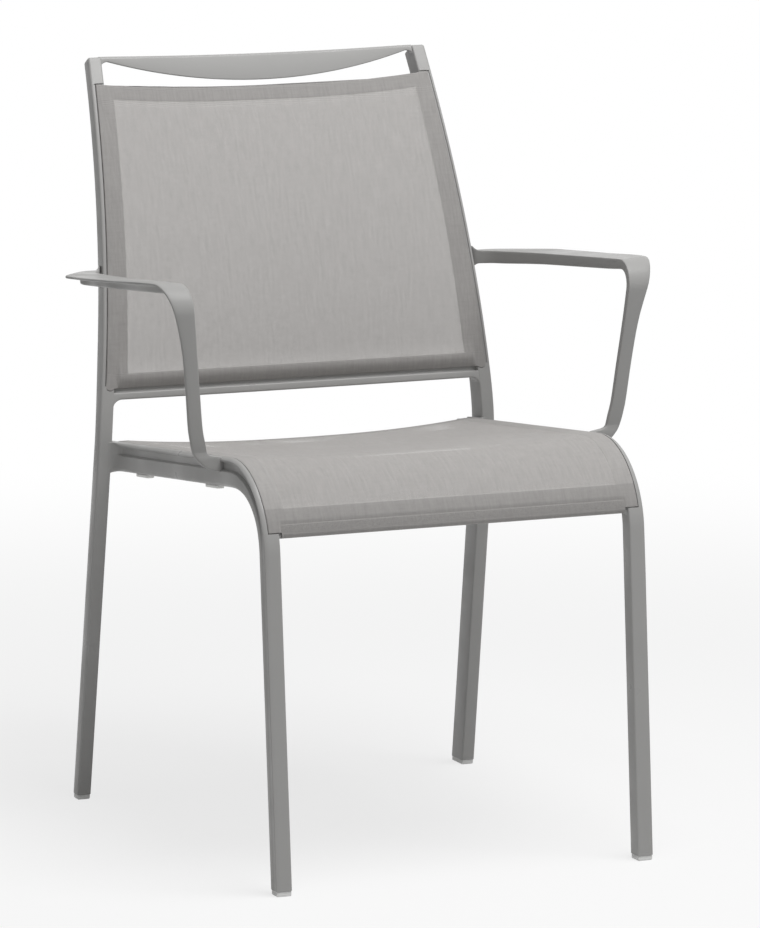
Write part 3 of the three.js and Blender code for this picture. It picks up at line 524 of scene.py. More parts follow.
@dataclass(frozen=True)
class UprightLine:
    """Guide line and section of the rear uprights: the inner front edge, from the floor to the top."""

    width: float = 16.3
    leg_depth: float = 30.0
    top_depth: float = 24.0
    # the round outer rear corner in the leg and in the back: its width, and its share of the depth
    leg_round: tuple[float, float] = (15.2, 0.7)
    back_round: tuple[float, float] = (12.0, 0.5)
    # how far above the bend's lower end one begins to turn into the other, and how long that takes
    round_change: tuple[float, float] = (30.0, 110.0)
    top: float = 857.0
    # heights of the bend's two ends, and the line's y and x there
    bend: tuple[float, float] = (400.0, 490.0)
    bend_y: tuple[float, float] = (206.0, 206.5)
    bend_x: tuple[float, float] = (231.9, 226.5)
    # side view: slope of the leg, slope of the back and the square law that bows it
    splay: float = 0.161
    rake: float = 0.1
    bow: float = 0.000616
    # front view: inner side at the floor, slope of the back and the square law that eases it
    floor_x: float = 236.0
    taper: float = 0.0927
    taper_ease: float = 0.000016
    channel: Channel = Channel(10.0, 8, ledge=1.8)
    # the cloth's upper edge, the play above it, and the centre of the half round that ends its seat below
    sling_top: float = 827.0
    sling_play: float = 0.6
    sling_end: float = 493.0

    @property
    def channel_top(self) -> float:
        """Height at which the channel ends."""
        return self.sling_top + self.sling_play

    @property
    def end_radius(self) -> float:
        """Radius of the half round that ends the cloth's seat, from 1 mm inside to just past the neck."""
        return (self.channel.slot + self.channel.neck + 1) / 2

    def through(
        self,
        z: Number,
        leg: Number,
        back: Number,
        values: tuple[float, float],
        slopes: tuple[float, float],
    ) -> Number:
        """The leg's values below the bend at the seat, the back's above it and a cubic in between.

        Args:
            z: heights.
            leg: the leg's values at them.
            back: the back's values at them.
            values: values at the bend's two ends.
            slopes: slopes at the bend's two ends.

        Returns:
            The values at the heights.
        """
        low, high = self.bend
        bend = hermite((z - low) / (high - low), high - low, values, slopes)
        return np.where(z <= low, leg, np.where(z >= high, back, bend))

    def face_y(self, z: Number) -> Number:
        """Front face in side view: a straight splayed leg, a bend, and a back bowed by a square law.

        Args:
            z: heights.

        Returns:
            The face's y at them.
        """
        h = z - self.bend[1]
        leg = self.bend_y[0] + self.splay * (self.bend[0] - z)
        back = self.bend_y[1] + self.rake * h + self.bow * h * h
        return self.through(z, leg, back, self.bend_y, (-self.splay, self.rake))

    def inner_x(self, z: Number) -> Number:
        """Inner side in front view: the legs stand a little wider and the back narrows to the top.

        Args:
            z: heights.

        Returns:
            The inner side's x at them.
        """
        h = z - self.bend[1]
        slope = (self.bend_x[0] - self.floor_x) / self.bend[0]
        back = self.bend_x[1] - self.taper * h + self.taper_ease * h * h
        return self.through(z, self.floor_x + slope * z, back, self.bend_x, (slope, -self.taper))

    def slope(self, z: Number) -> Number:
        """Slope of the front face in side view."""
        return self.face_y(z + 0.5) - self.face_y(z - 0.5)

    def reach(self, z: Number, behind: Number) -> Number:
        """Half-length of a rail welded between the uprights, some way behind their front face."""
        slope = self.slope(z)
        return self.inner_x(z + behind * slope / (1 + slope**2)) + WELD

    def place(self, z: np.ndarray, section: np.ndarray) -> np.ndarray:
        """Section points (outward, backward) set square to the front face at each height.

        Args:
            z: one height per station, or one per point.
            section: stations, points and the two section coordinates.

        Returns:
            The points in space.
        """
        z = z if z.ndim > 1 else z[:, None]
        slope = self.slope(z)
        norm = np.hypot(1, slope)
        u, b = section[..., 0], section[..., 1]
        return np.stack([self.inner_x(z) + u, self.face_y(z) + b / norm, z - b * slope / norm], -1)

    def place_level(self, z: np.ndarray, section: np.ndarray) -> np.ndarray:
        """Section points set level at each height, for the ends that stand on the glides.

        Args:
            z: one height per station.
            section: stations, points and the two section coordinates.

        Returns:
            The points in space.
        """
        z = np.broadcast_to(z[:, None], section.shape[:2])
        norm = math.hypot(1, self.splay)
        return np.stack([self.inner_x(z) + section[..., 0], self.face_y(z) + section[..., 1] * norm, z], -1)

    def section(self, z: np.ndarray, inset: Number = 0.0, opened: Number = 0.0) -> np.ndarray:
        """Sections of the upright: flat in front and inside, the outer rear corner a quarter of an ellipse.

        Args:
            z: one height per station.
            inset: how far the section is drawn in.
            opened: 1 where the sling channel is open.

        Returns:
            An array of stations, points and (outward, backward).
        """
        n = len(z)
        i = column(inset, n)
        w = self.width
        above = np.clip((z - self.bend[0]) / (self.top - self.bend[0]), 0, 1)
        d = mix(self.leg_depth, self.top_depth, above)
        rise, length = self.round_change
        back = smooth((z - self.bend[0] - rise) / length)
        across = np.minimum(mix(self.leg_round[0], self.back_round[0], back), w - i - 0.8)
        along = d * mix(self.leg_round[1], self.back_round[1], back)
        turns = [(math.cos(a), math.sin(a)) for a in quarter(11)]
        rounded = [(w - across + (across - i) * c, d - along + (along - i) * r) for c, r in turns]
        return outline(
            n,
            [
                *self.channel.near_side(i),
                *self.channel.corners(n, column(opened, n), i),
                (w - i, i, shrunk(2.6, i, 0.5), 6),
                *rounded,
                (i, d - i, shrunk(1.1, i), 3),
            ],
        )

    def seat_depth(self, u: np.ndarray, z: np.ndarray) -> np.ndarray:
        """Depth of the cloth's seat in the front face: full above a half-round end, nothing below it.

        Args:
            u: distances from the upright's inner side.
            z: heights.

        Returns:
            The depth at each point.
        """
        radius = self.end_radius
        foot = self.sling_end - np.sqrt(np.maximum(radius**2 - (u - radius + 1) ** 2, 0.01))
        below_top = step_at(self.channel_top - z, self.sling_play / 2)
        return self.channel.seat * step_at(z - foot, 0.25) * below_top


@dataclass(frozen=True)
class RailLine:
    """Guide line and section of the seat rail and front leg: their top inner edge, from back to floor."""

    path: SidePath = SidePath((228.0, 426.6), (-233.8, 468.7), (-269.8, 0.0), 99.0)
    width: float = 18.6
    rear_depth: float = 33.8
    front_depth: float = 32.3
    leg_depth: float = 20.0
    # depth of the recess along the seat, down the leg and at the weld, and where in the bend it fades
    recess: float = 4.1
    leg_recess: float = 0.3
    weld_recess: float = 0.1
    recess_fades: float = 0.55
    # how far below the lip's edge it begins and is full, and the shares of the depth where it ends
    recess_top: tuple[float, float] = (2.0, 3.2)
    recess_end: tuple[float, float] = (0.4, 0.46)
    # inner side at the rear end, at the front bend and at the floor
    rear_x: float = 209.9
    front_x: float = 207.6
    foot_x: float = 206.9
    channel: Channel = Channel(11.6, 6)
    # distance along the line, and how far the lip beside the channel has fallen at its outer edge
    lip_fall: tuple = ((0, 3), (290, 2.8), (345, 2.6), (400, 2.4), (450, 2.1), (520, 1.3), (580, 0.5))
    # height on the front at which the channel ends
    sling_front: float = 391.5

    def distance_at(self, height: float) -> float:
        """Distance at which the line has come down to a height on its front leg side.

        Args:
            height: the height.

        Returns:
            The distance, read off a fine table of the line's heights.
        """
        distance = np.linspace(self.path.bend_start, self.path.length, 20001)
        heights = self.path.at(distance)[0][:, 1]
        return float(np.interp(-height, -heights, distance))

    def inner_x(self, distance: Number) -> Number:
        """Inner side of the rail, which runs a little inward to the front and down the leg.

        Args:
            distance: distances along the line.

        Returns:
            The inner side's x at them.
        """
        p = self.path
        seat = mix(self.rear_x, self.front_x, np.clip(distance / p.bend_start, 0, 1))
        leg = mix(self.front_x, self.foot_x, (distance - p.bend_end) / (p.length - p.bend_end))
        return np.where(distance > p.bend_end, leg, seat)

    def depth(self, distance: Number) -> Number:
        """Depth of the section: tall along the seat, slimmer as it turns down into the leg."""
        along = mix(self.rear_depth, self.front_depth, np.clip(distance / self.path.bend_start, 0, 1))
        return mix(along, self.leg_depth, smooth(self.path.bent(distance) * 1.25))

    def place(self, distance: np.ndarray, section: np.ndarray) -> np.ndarray:
        """Section points (outward, below the top face) set square to the line.

        Args:
            distance: one distance per station.
            section: stations, points and the two section coordinates.

        Returns:
            The points in space.
        """
        x = column(self.inner_x(distance), len(distance))[:, None] + section[..., 0]
        y, z = self.path.below(distance, section[..., 1])
        return np.stack([x, y, z], -1)

    def place_level(self, z: np.ndarray, section: np.ndarray) -> np.ndarray:
        """Section points of the foot, slid along the leg to lie level at each height.

        Args:
            z: one height per station.
            section: stations, points and the two section coordinates.

        Returns:
            The points in space.
        """
        foot = self.place(np.full(len(z), self.path.length), section)
        lean = (self.path.corner[0] - self.path.end[0]) / self.path.corner[1]
        foot[..., 1] += (z[:, None] - foot[..., 2]) * lean
        foot[..., 2] = z[:, None]
        return foot

    def section(
        self,
        distance: np.ndarray,
        inset: Number = 0.0,
        opened: Number = 0.0,
        width: Number | None = None,
        plain: Number = 0.0,
    ) -> np.ndarray:
        """Sections of the rail: a lip beside the channel, a recess under it and a full lower half.

        Args:
            distance: one distance per station.
            inset: how far the section is drawn in.
            opened: 1 where the sling channel is open.
            width: the section's width, if it is not the rail's own.
            plain: 1 where the lip is level and there is no recess, and 0 where both are full.

        Returns:
            An array of stations, points and (outward, down from the top face).
        """
        n = len(distance)
        i = column(inset, n)
        w = column(self.width if width is None else width, n)
        d = self.depth(distance)
        kept = 1 - column(plain, n)
        fall = table_at(self.lip_fall, distance)[:, 0] * kept
        shrink = smooth((self.path.bent(distance) - self.recess_fades) / (1 - self.recess_fades))
        r = mix(mix(self.recess, self.leg_recess, shrink), self.weld_recess, 1 - kept)
        lip = self.channel.slot + self.channel.neck + self.channel.ledge + 0.2
        lips = [(mix(lip, w - i, t), i + fall * t**2) for t in (0.0, 0.3, 0.55, 0.8)]
        begins, full = self.recess_top
        rises, ends = self.recess_end
        return outline(
            n,
            [
                *self.channel.near_side(i),
                *self.channel.corners(n, column(opened, n), i),
                *lips,
                (w - i, i + fall * 1.15, shrunk(1, i), 4),
                (w - i - r * 0.12, i + fall + begins, 0.5, 1),
                (w - i - r, i + fall + full, 0.7, 2),
                (w - i - r, d * rises, 0.8, 3),
                (w - i, d * ends, 1.5, 4),
                (w - i, d - i, shrunk(5.5, i, 0.5), 6),
                (i, d - i, shrunk(2.6, i, 0.5), 4),
            ],
        )


UPRIGHT = UprightLine()
RAIL = RailLine()


# Finishes


class Board:
    """A node tree with short ways to add nodes, do sums and make links."""

    def __init__(self, tree: bpy.types.NodeTree) -> None:
        """Empties a node tree and takes it over."""
        self.tree = tree
        tree.nodes.clear()

    def add(self, kind: str, **values: object) -> bpy.types.Node:
        """Adds a node and sets it up.

        Args:
            kind: the node's type without its "ShaderNode" start, or in full.
            values: what set() takes.

        Returns:
            The node.
        """
        node = self.tree.nodes.new(kind if kind.startswith("Node") else "ShaderNode" + kind)
        self.set(node, **values)
        return node

    def set(self, node: bpy.types.Node, **values: object) -> None:
        """Sets a node's inputs, and its properties where a name isn't one of its inputs.

        Args:
            node: the node.
            values: plain values or sockets to link from, with underscores for spaces in the names.
        """
        for name, value in values.items():
            label = name.replace("_", " ")
            if label in node.inputs:
                self.put(value, node.inputs[label])
            else:
                setattr(node, name, value)

    def put(self, value: Feed, socket: bpy.types.NodeSocket) -> None:
        """Links an output socket to an input, or writes a plain value to it.

        Args:
            value: the output socket or the value.
            socket: the input.
        """
        if isinstance(value, bpy.types.NodeSocket):
            self.tree.links.new(value, socket)
        else:
            socket.default_value = value

    def run(self, kind: str, values: Sequence[Feed], **settings: object) -> bpy.types.NodeSocket:
        """Adds a node that works on its inputs in their order.

        Args:
            kind: the node's type.
            values: one number, vector or socket per input.
            settings: the node's properties.

        Returns:
            Its first output.
        """
        node = self.add(kind, **settings)
        for value, socket in zip(values, node.inputs):
            self.put(value, socket)
        return node.outputs[0]

    def math(self, operation: str, *values: Feed, clamp: bool = False) -> bpy.types.NodeSocket:
        """The result of a Math node, held between 0 and 1 where it is clamped."""
        return self.run("Math", values, operation=operation, use_clamp=clamp)

    def vector(self, operation: str, *values: Feed) -> bpy.types.NodeSocket:
        """The vector that a Vector Math node puts out."""
        return self.run("VectorMath", values, operation=operation)

    def scaled(self, colour: Sequence[float], factor: bpy.types.NodeSocket) -> bpy.types.NodeSocket:
        """A colour made lighter or darker by a factor."""
        return self.run("VectorMath", [colour], operation="SCALE", Scale=factor)

    def fade(self, value: Feed, low: float, high: float) -> bpy.types.NodeSocket:
        """A smooth rise from 0 to 1.

        Args:
            value: what it follows.
            low: where it is 0.
            high: where it is 1.

        Returns:
            The result.
        """
        return self.run("MapRange", [value, low, high], interpolation_type="SMOOTHSTEP")

    def blend(self, factor: Feed, a: Feed, b: Feed) -> bpy.types.NodeSocket:
        """Blends two colours.

        Args:
            factor: 0 for the first and 1 for the second.
            a: the first colour.
            b: the second colour.

        Returns:
            The blended colour.
        """
        node = self.add("Mix", data_type="RGBA")
        for value, socket in ((factor, node.inputs[0]), (a, node.inputs[6]), (b, node.inputs[7])):
            self.put(value, socket)
        return node.outputs[2]


def new_group(
    name: str,
    inputs: dict[str, float | None],
    outputs: Sequence[str],
) -> tuple[Board, list[bpy.types.NodeSocket], bpy.types.Node]:
    """A shader node group with named sockets.

    Args:
        name: the group's name.
        inputs: the default value of each number that it takes, or None for a vector.
        outputs: names of its outputs, which are all numbers.

    Returns:
        A board on the group, the sockets that bring its inputs, and the node that takes its outputs.
    """
    group = bpy.data.node_groups.new(name, "ShaderNodeTree")
    for label, default in inputs.items():
        kind = "NodeSocketVector" if default is None else "NodeSocketFloat"
        socket = group.interface.new_socket(label, in_out="INPUT", socket_type=kind)
        if default is not None:
            socket.default_value = default
    for label in outputs:
        group.interface.new_socket(label, in_out="OUTPUT", socket_type="NodeSocketFloat")
    board = Board(group)
    sources = list(board.add("NodeGroupInput").outputs)[: len(inputs)]
    return board, sources, board.add("NodeGroupOutput")


def grain_group() -> bpy.types.NodeTree:
    """Fine relief and slow mottling of a coated or moulded surface.

    The relief is a fine noise, and the mottling is 1 plus a slow noise about 0 times its strength.

    Returns:
        A group that puts out Height, Shade and Gloss.
    """
    board, sources, out = new_group(
        "Surface grain",
        {"Place": None, "Grain scale": 900.0, "Mottle scale": 14.0, "Mottle": 0.03},
        ["Height", "Shade", "Gloss"],
    )
    place, scale, slow, mottle = sources
    fine = board.add("TexNoise", Vector=place, Scale=scale, Detail=3.0, Roughness=0.6)
    broad = board.add("TexNoise", Vector=place, Scale=slow, Detail=4.0, Roughness=0.55)
    swing = board.math("SUBTRACT", broad.outputs["Fac"], 0.5)
    speck = board.math("SUBTRACT", fine.outputs["Fac"], 0.5)
    shade = board.math("MULTIPLY_ADD", swing, board.math("MULTIPLY", mottle, 2.0), 1.0)
    fleck = board.math("MULTIPLY_ADD", speck, mottle, shade)
    gloss = board.math("MULTIPLY_ADD", swing, -2.0, 1.0)
    board.set(out, Height=fine.outputs["Fac"], Shade=fleck, Gloss=gloss)
    return board.tree


def weave_group() -> bpy.types.NodeTree:
    """A plain weave of coated yarns on coordinates counted in yarns.

    With u and v in yarns, the warp's height is |cos(pi u)| and the weft's is |cos(pi v)|. The product
    of the cosines changes sign from crossing to crossing and says which yarn lies on top. A hole is
    where both heights are low. Long thin noise along each yarn gives it its own shade.

    Returns:
        A group that puts out Height, Cover (1 on yarn, 0 in a hole) and Shade, which is the yarns' own
        streaks times painted shade that makes the yarns' tops lighter and the hollows between them darker.
    """
    board, sources, out = new_group(
        "Sling weave",
        {"Cloth": None, "Pitch": 0.0013, "Streak": 0.1},
        ["Height", "Cover", "Shade"],
    )
    cloth, pitch, streak = sources
    yarns = board.vector("DIVIDE", cloth, pitch)
    axes = board.add("SeparateXYZ", Vector=yarns)
    waves = [board.math("COSINE", board.math("MULTIPLY", axes.outputs[k], math.pi)) for k in range(2)]
    warp, weft = (board.math("ABSOLUTE", wave) for wave in waves)
    over = board.math("MULTIPLY_ADD", board.math("MULTIPLY", waves[0], waves[1]), 0.5, 0.5)
    under = board.math("SUBTRACT", 1.0, over)
    top = board.math("MAXIMUM", board.math("MULTIPLY", warp, over), board.math("MULTIPLY", weft, under))
    cover = board.fade(board.math("MAXIMUM", warp, weft), 0.54, 0.66)
    noises = []
    for stretch in ((0.42, 0.045, 1.0), (0.045, 0.42, 1.0)):
        along = board.vector("MULTIPLY", yarns, stretch)
        noise = board.add("TexNoise", Vector=along, Scale=1.0, Detail=3.0, Roughness=0.7)
        noises.append(board.math("SUBTRACT", noise.outputs["Fac"], 0.5))
    both = board.math("MULTIPLY_ADD", noises[1], 0.45, noises[0])
    # painted shade of the relief: yarn tops lighter, the hollows between yarns darker
    relief = board.math("MULTIPLY_ADD", top, 0.3, 0.82)
    board.set(out, Height=top, Cover=cover, Shade=board.math("MULTIPLY_ADD", both, streak, relief))
    return board.tree


def material_board(name: str) -> tuple[bpy.types.Material, Board, bpy.types.Node]:
    """A new material whose Principled shader is linked to its output.

    Args:
        name: the material's name.

    Returns:
        The material, a board on its nodes and the shader.
    """
    material = bpy.data.materials.new(name)
    material.use_nodes = True
    board = Board(material.node_tree)
    shader = board.add("BsdfPrincipled")
    board.add("OutputMaterial", Surface=shader.outputs[0])
    return material, board, shader


@dataclass(frozen=True)
class CoatedFinish:
    """A coated, moulded or brushed finish: a colour with fine relief and slow mottling."""

    name: str
    colour: tuple[float, float, float]
    roughness: float
    metallic: float = 0.0
    grain_scale: float = 900.0
    grain_height: float = 0.00002
    mottle: float = 0.03
    specular: float = 0.5
    coat: float = 0.0
    coat_roughness: float = 0.16

    def material(self, grain: bpy.types.NodeTree) -> bpy.types.Material:
        """Builds the material.

        Args:
            grain: the grain group.

        Returns:
            The material.
        """
        material, board, shader = material_board(self.name)
        surface = board.add("Group", node_tree=grain, Grain_scale=self.grain_scale, Mottle=self.mottle)
        board.set(surface, Place=board.add("TexCoord").outputs["Object"])
        shade, gloss, height = (surface.outputs[name] for name in ("Shade", "Gloss", "Height"))
        bump = board.add("Bump", Strength=1.0, Distance=self.grain_height, Height=height)
        board.set(
            shader,
            Base_Color=board.scaled(self.colour, shade),
            Roughness=board.math("MULTIPLY", gloss, self.roughness),
            Metallic=self.metallic,
            Specular_IOR_Level=self.specular,
            Coat_Weight=self.coat,
            Coat_Roughness=self.coat_roughness,
            Normal=bump.outputs[0],
        )
        return material


@dataclass(frozen=True)
class SlingFinish:
    """Woven sling cloth: open between its yarns where single and closed where doubled. Its colour is
    painted lighter for the light that shines through the single cloth, and it is painted darker where
    doubled, as painted shade where less light comes through.
    """

    name: str
    colour: tuple[float, float, float]
    # painted shade: the doubled cloth's colour as a share of the single cloth's painted-light colour
    hem_painted_shade: float = 0.71
    pitch: float = 0.0013
    streak: float = 0.36
    relief: float = 0.00025
    relief_strength: float = 0.7
    roughness: float = 0.7
    specular: float = 0.35
    # layers at which the holes begin to close and are shut
    closing: tuple[float, float] = (0.02, 0.25)

    def material(self, weave: bpy.types.NodeTree) -> bpy.types.Material:
        """Builds the material.

        Args:
            weave: the weave group.

        Returns:
            The material.
        """
        material, board, shader = material_board(self.name)
        layers = board.add("Attribute", attribute_name="layers", attribute_type="GEOMETRY").outputs["Fac"]
        yarns = board.add("Group", node_tree=weave, Pitch=self.pitch, Streak=self.streak)
        board.set(yarns, Cloth=board.add("UVMap", uv_map="Cloth").outputs["UV"])
        shade, cover, height = (yarns.outputs[name] for name in ("Shade", "Cover", "Height"))
        # painted shade: the colour is darkened where the cloth lies doubled
        hem = board.math("MULTIPLY_ADD", layers, self.hem_painted_shade - 1, 1.0)
        doubled = board.fade(layers, *self.closing)
        bump = board.add("Bump", Strength=self.relief_strength, Distance=self.relief, Height=height)
        board.set(
            shader,
            Base_Color=board.scaled(self.colour, board.math("MULTIPLY", shade, hem)),
            Roughness=self.roughness,
            Specular_IOR_Level=self.specular,
            Alpha=board.math("MAXIMUM", cover, doubled, clamp=True),
            Normal=bump.outputs[0],
        )
        return material


@dataclass(frozen=True)
class Finishes:
    """Every finish of the chair."""

    frame: bpy.types.Material
    cast: bpy.types.Material
    sling: bpy.types.Material
    plastic: bpy.types.Material
    pad: bpy.types.Material
    rod: bpy.types.Material
    steel: bpy.types.Material

    @classmethod
    def make(cls) -> Finishes:
        """Builds the node groups and the materials that use them.

        Returns:
            The finishes.
        """
        grain, weave = grain_group(), weave_group()
        coat = CoatedFinish("Satin powder coat", (0.362, 0.359, 0.352), 0.42, specular=0.24, coat=0.1)
        # the armrests' copy of the frame's coat, less glossy and a little darker: the darker colour is
        # painted shade that tones down their brightly lit tops
        cast = CoatedFinish("Coated casting painted darker", (0.352, 0.349, 0.342), 0.46, specular=0.16, coat=0.06)
        plastic = CoatedFinish("Moulded glide", (0.74, 0.74, 0.73), 0.5, grain_scale=1400.0)
        pad = CoatedFinish("Moulded pad", (0.9, 0.9, 0.88), 0.5, grain_scale=1400.0)
        rod = CoatedFinish("Sling rod", (0.7, 0.7, 0.67), 0.45, grain_scale=1400.0)
        steel = CoatedFinish("Screw steel", (0.6, 0.61, 0.62), 0.3, metallic=1.0, mottle=0.05)
        return cls(
            frame=coat.material(grain),
            cast=cast.material(grain),
            # the sling's colour is partly painted light: lighter than the yarn, for the light that shines
            # through the single cloth
            sling=SlingFinish("Woven sling", (0.452, 0.437, 0.425)).material(weave),
            plastic=plastic.material(grain),
            pad=pad.material(grain),
            rod=rod.material(grain),
            steel=steel.material(grain),
        )


# Frame members


@dataclass
class RearUpright:
    """One member each side: the splayed rear leg and the bowed back post, with the back sling's channel."""

    foot: float = 6.0
    level_to: float = 14.0
    top_round: float = 2.2
    # start, end and count of the rings' heights, which crowd at the half round where the cloth's seat ends
    runs: tuple = ((24, 396, 25), (400, 476, 16), (480, 484.5, 4), (485.8, 494.8, 31), (497, 822, 52))
    # heights of the rings under the channel's upper end and above it
    under_end: float = 825.5
    above_end: tuple[float, ...] = (830, 838, 847, 852)

    def rings(self) -> np.ndarray:
        """Rings of the right upright from its foot to its rounded top.

        Returns:
            The rings.
        """
        line = UPRIGHT
        end = line.channel_top
        beside = [end - 0.35, end - 0.1, end + 0.1, end + 0.35]
        z = np.concatenate([spread(*self.runs), [self.under_end], beside, self.above_end])
        opened = ((z > line.sling_end - 0.05) & (z < end)).astype(float)
        section = line.section(z, 0.0, opened)
        inner = line.channel.inner_points
        u = section[:, :inner, 0]
        section[:, :inner, 1] = np.maximum(section[:, :inner, 1], line.seat_depth(u, z[:, None]))
        turn = quarter(6)
        tops = line.top - self.top_round * (1 - np.sin(turn))
        crown = line.place(tops, line.section(tops, self.top_round * (1 - np.cos(turn))))
        low = np.array([self.foot, self.level_to])
        return np.concatenate([line.place_level(low, line.section(low)), line.place(z, section), crown])

    def build(self, finishes: Finishes) -> None:
        """Adds both uprights."""
        add_pair("upright_shell", loft(self.rings()), finishes.frame, Slot.FRAME, "rear_upright")


@dataclass
class SeatRail:
    """One member each side: the seat rail, flared at its weld, that turns down into the front leg."""

    foot: float = 6.0
    # height at which the upright's face is met, and how far in front of it the flare's first ring lies
    weld_height: float = 425.0
    weld_play: float = 0.6
    flare_radius: float = 15.0
    flare_width: float = 8.5
    flare_drop: float = 9.0
    # how far from the upright the lip begins to fall and the recess to open, and how long that takes
    recess_start: tuple[float, float] = (3.0, 12.0)

    def stations(self) -> tuple[np.ndarray, np.ndarray, float]:
        """Distances of the rings along the guide line.

        Two rings lie inside the upright and one on its face. The next ones crowd at the flare's root, and
        the rest follow the seat, the front bend and the leg, with a quick step where the channel ends.

        Returns:
            The distances, their distances from the upright's face (FAR inside it), and the channel's end.
        """
        path = RAIL.path
        face = path.start[0] - float(UPRIGHT.face_y(self.weld_height)) + self.weld_play
        end = RAIL.distance_at(RAIL.sling_front)
        flared = face + self.flare_radius * crowded(11)
        seat = np.linspace(face + self.flare_radius, path.bend_start, 22)[1:-1]
        bend = np.linspace(path.bend_start, path.bend_end, 37)
        leg = np.linspace(end + 8, path.length - 20, 30)
        beside = [end - 0.3, end - 0.05, end + 0.05, end + 0.3]
        free = np.sort(np.concatenate([flared, seat, bend, beside, leg]))
        distance = np.concatenate([[0.0, face, face], free])
        return distance, np.concatenate([[FAR, FAR, 0], free - face]), end

    def rings(self) -> np.ndarray:
        """Rings of the right rail from behind the upright, over the front bend and down to the foot.

        Within its radius the flare widens the rail outward and hangs it down by a round fillet, and its
        rings turn from the slant of the upright's face to square with the rail.

        Returns:
            The rings.
        """
        line = RAIL
        distance, near, end = self.stations()
        grown = fillet_left(near, self.flare_radius)
        begins, length = self.recess_start
        plain = 1 - smooth((near - begins) / length) * (near < FAR)
        opened = (distance < end).astype(float)
        width = line.width + self.flare_width * grown
        section = line.section(distance, 0.0, opened, width, plain)
        inner = line.channel.inner_points
        section[:, :inner, 1] = np.maximum(section[:, :inner, 1], (line.channel.seat * opened)[:, None])
        under = smooth((section[..., 1] / line.depth(distance)[:, None] - 0.6) / 0.4)
        hang = fillet_left(width[:, None] - section[..., 0], self.flare_radius) * under
        section[..., 1] += self.flare_drop * grown[:, None] * hang
        points = line.place(distance, section)
        touching = UPRIGHT.face_y(points[..., 2])
        points[1:3, :, 1] = touching[1:3] + [[2 * WELD], [WELD]]
        steps = self.flare_radius * crowded(11)
        flared = slice(3, 3 + len(steps))
        square = smooth(steps / self.flare_radius)[:, None]
        points[flared, :, 1] = mix(touching[flared] - steps[:, None], points[flared, :, 1], square)
        foot = line.section(np.array([line.path.length]))
        return np.concatenate([points, line.place_level(np.array([self.foot]), foot)])

    def build(self, finishes: Finishes) -> None:
        """Adds both rails."""
        shell = loft(self.rings())
        add_pair("seat_rail_shell", shell, finishes.frame, Slot.FRAME, "seat_rail_and_front_leg")


@dataclass
class FootGlides:
    """Moulded glides under the four legs: the leg's own section a little drawn in, rounded at the floor."""

    height: float = 5.7
    inset: float = 0.7
    round: float = 1.6

    def levels(self) -> tuple[np.ndarray, np.ndarray]:
        """Heights and insets of the rings: a quarter round at the floor, then straight.

        Returns:
            The heights and the insets.
        """
        turn = quarter(6)
        z = np.concatenate([self.round * (1 - np.cos(turn)), [self.height - 0.4, self.height]])
        rounded = self.inset + self.round * (1 - np.sin(turn))
        return z, np.concatenate([rounded, [self.inset, self.inset + 0.3]])

    def build(self, finishes: Finishes) -> None:
        """Adds the four glides.

        Args:
            finishes: the chair's finishes.
        """
        z, inset = self.levels()
        rear = UPRIGHT.place_level(z, UPRIGHT.section(z, inset))
        front = RAIL.place_level(z, RAIL.section(np.full(len(z), RAIL.path.length), inset))
        add_pair("rear_glide", loft(rear), finishes.plastic, Slot.PLASTIC, "rear_foot_glide")
        add_pair("front_glide", loft(front), finishes.plastic, Slot.PLASTIC, "front_foot_glide")


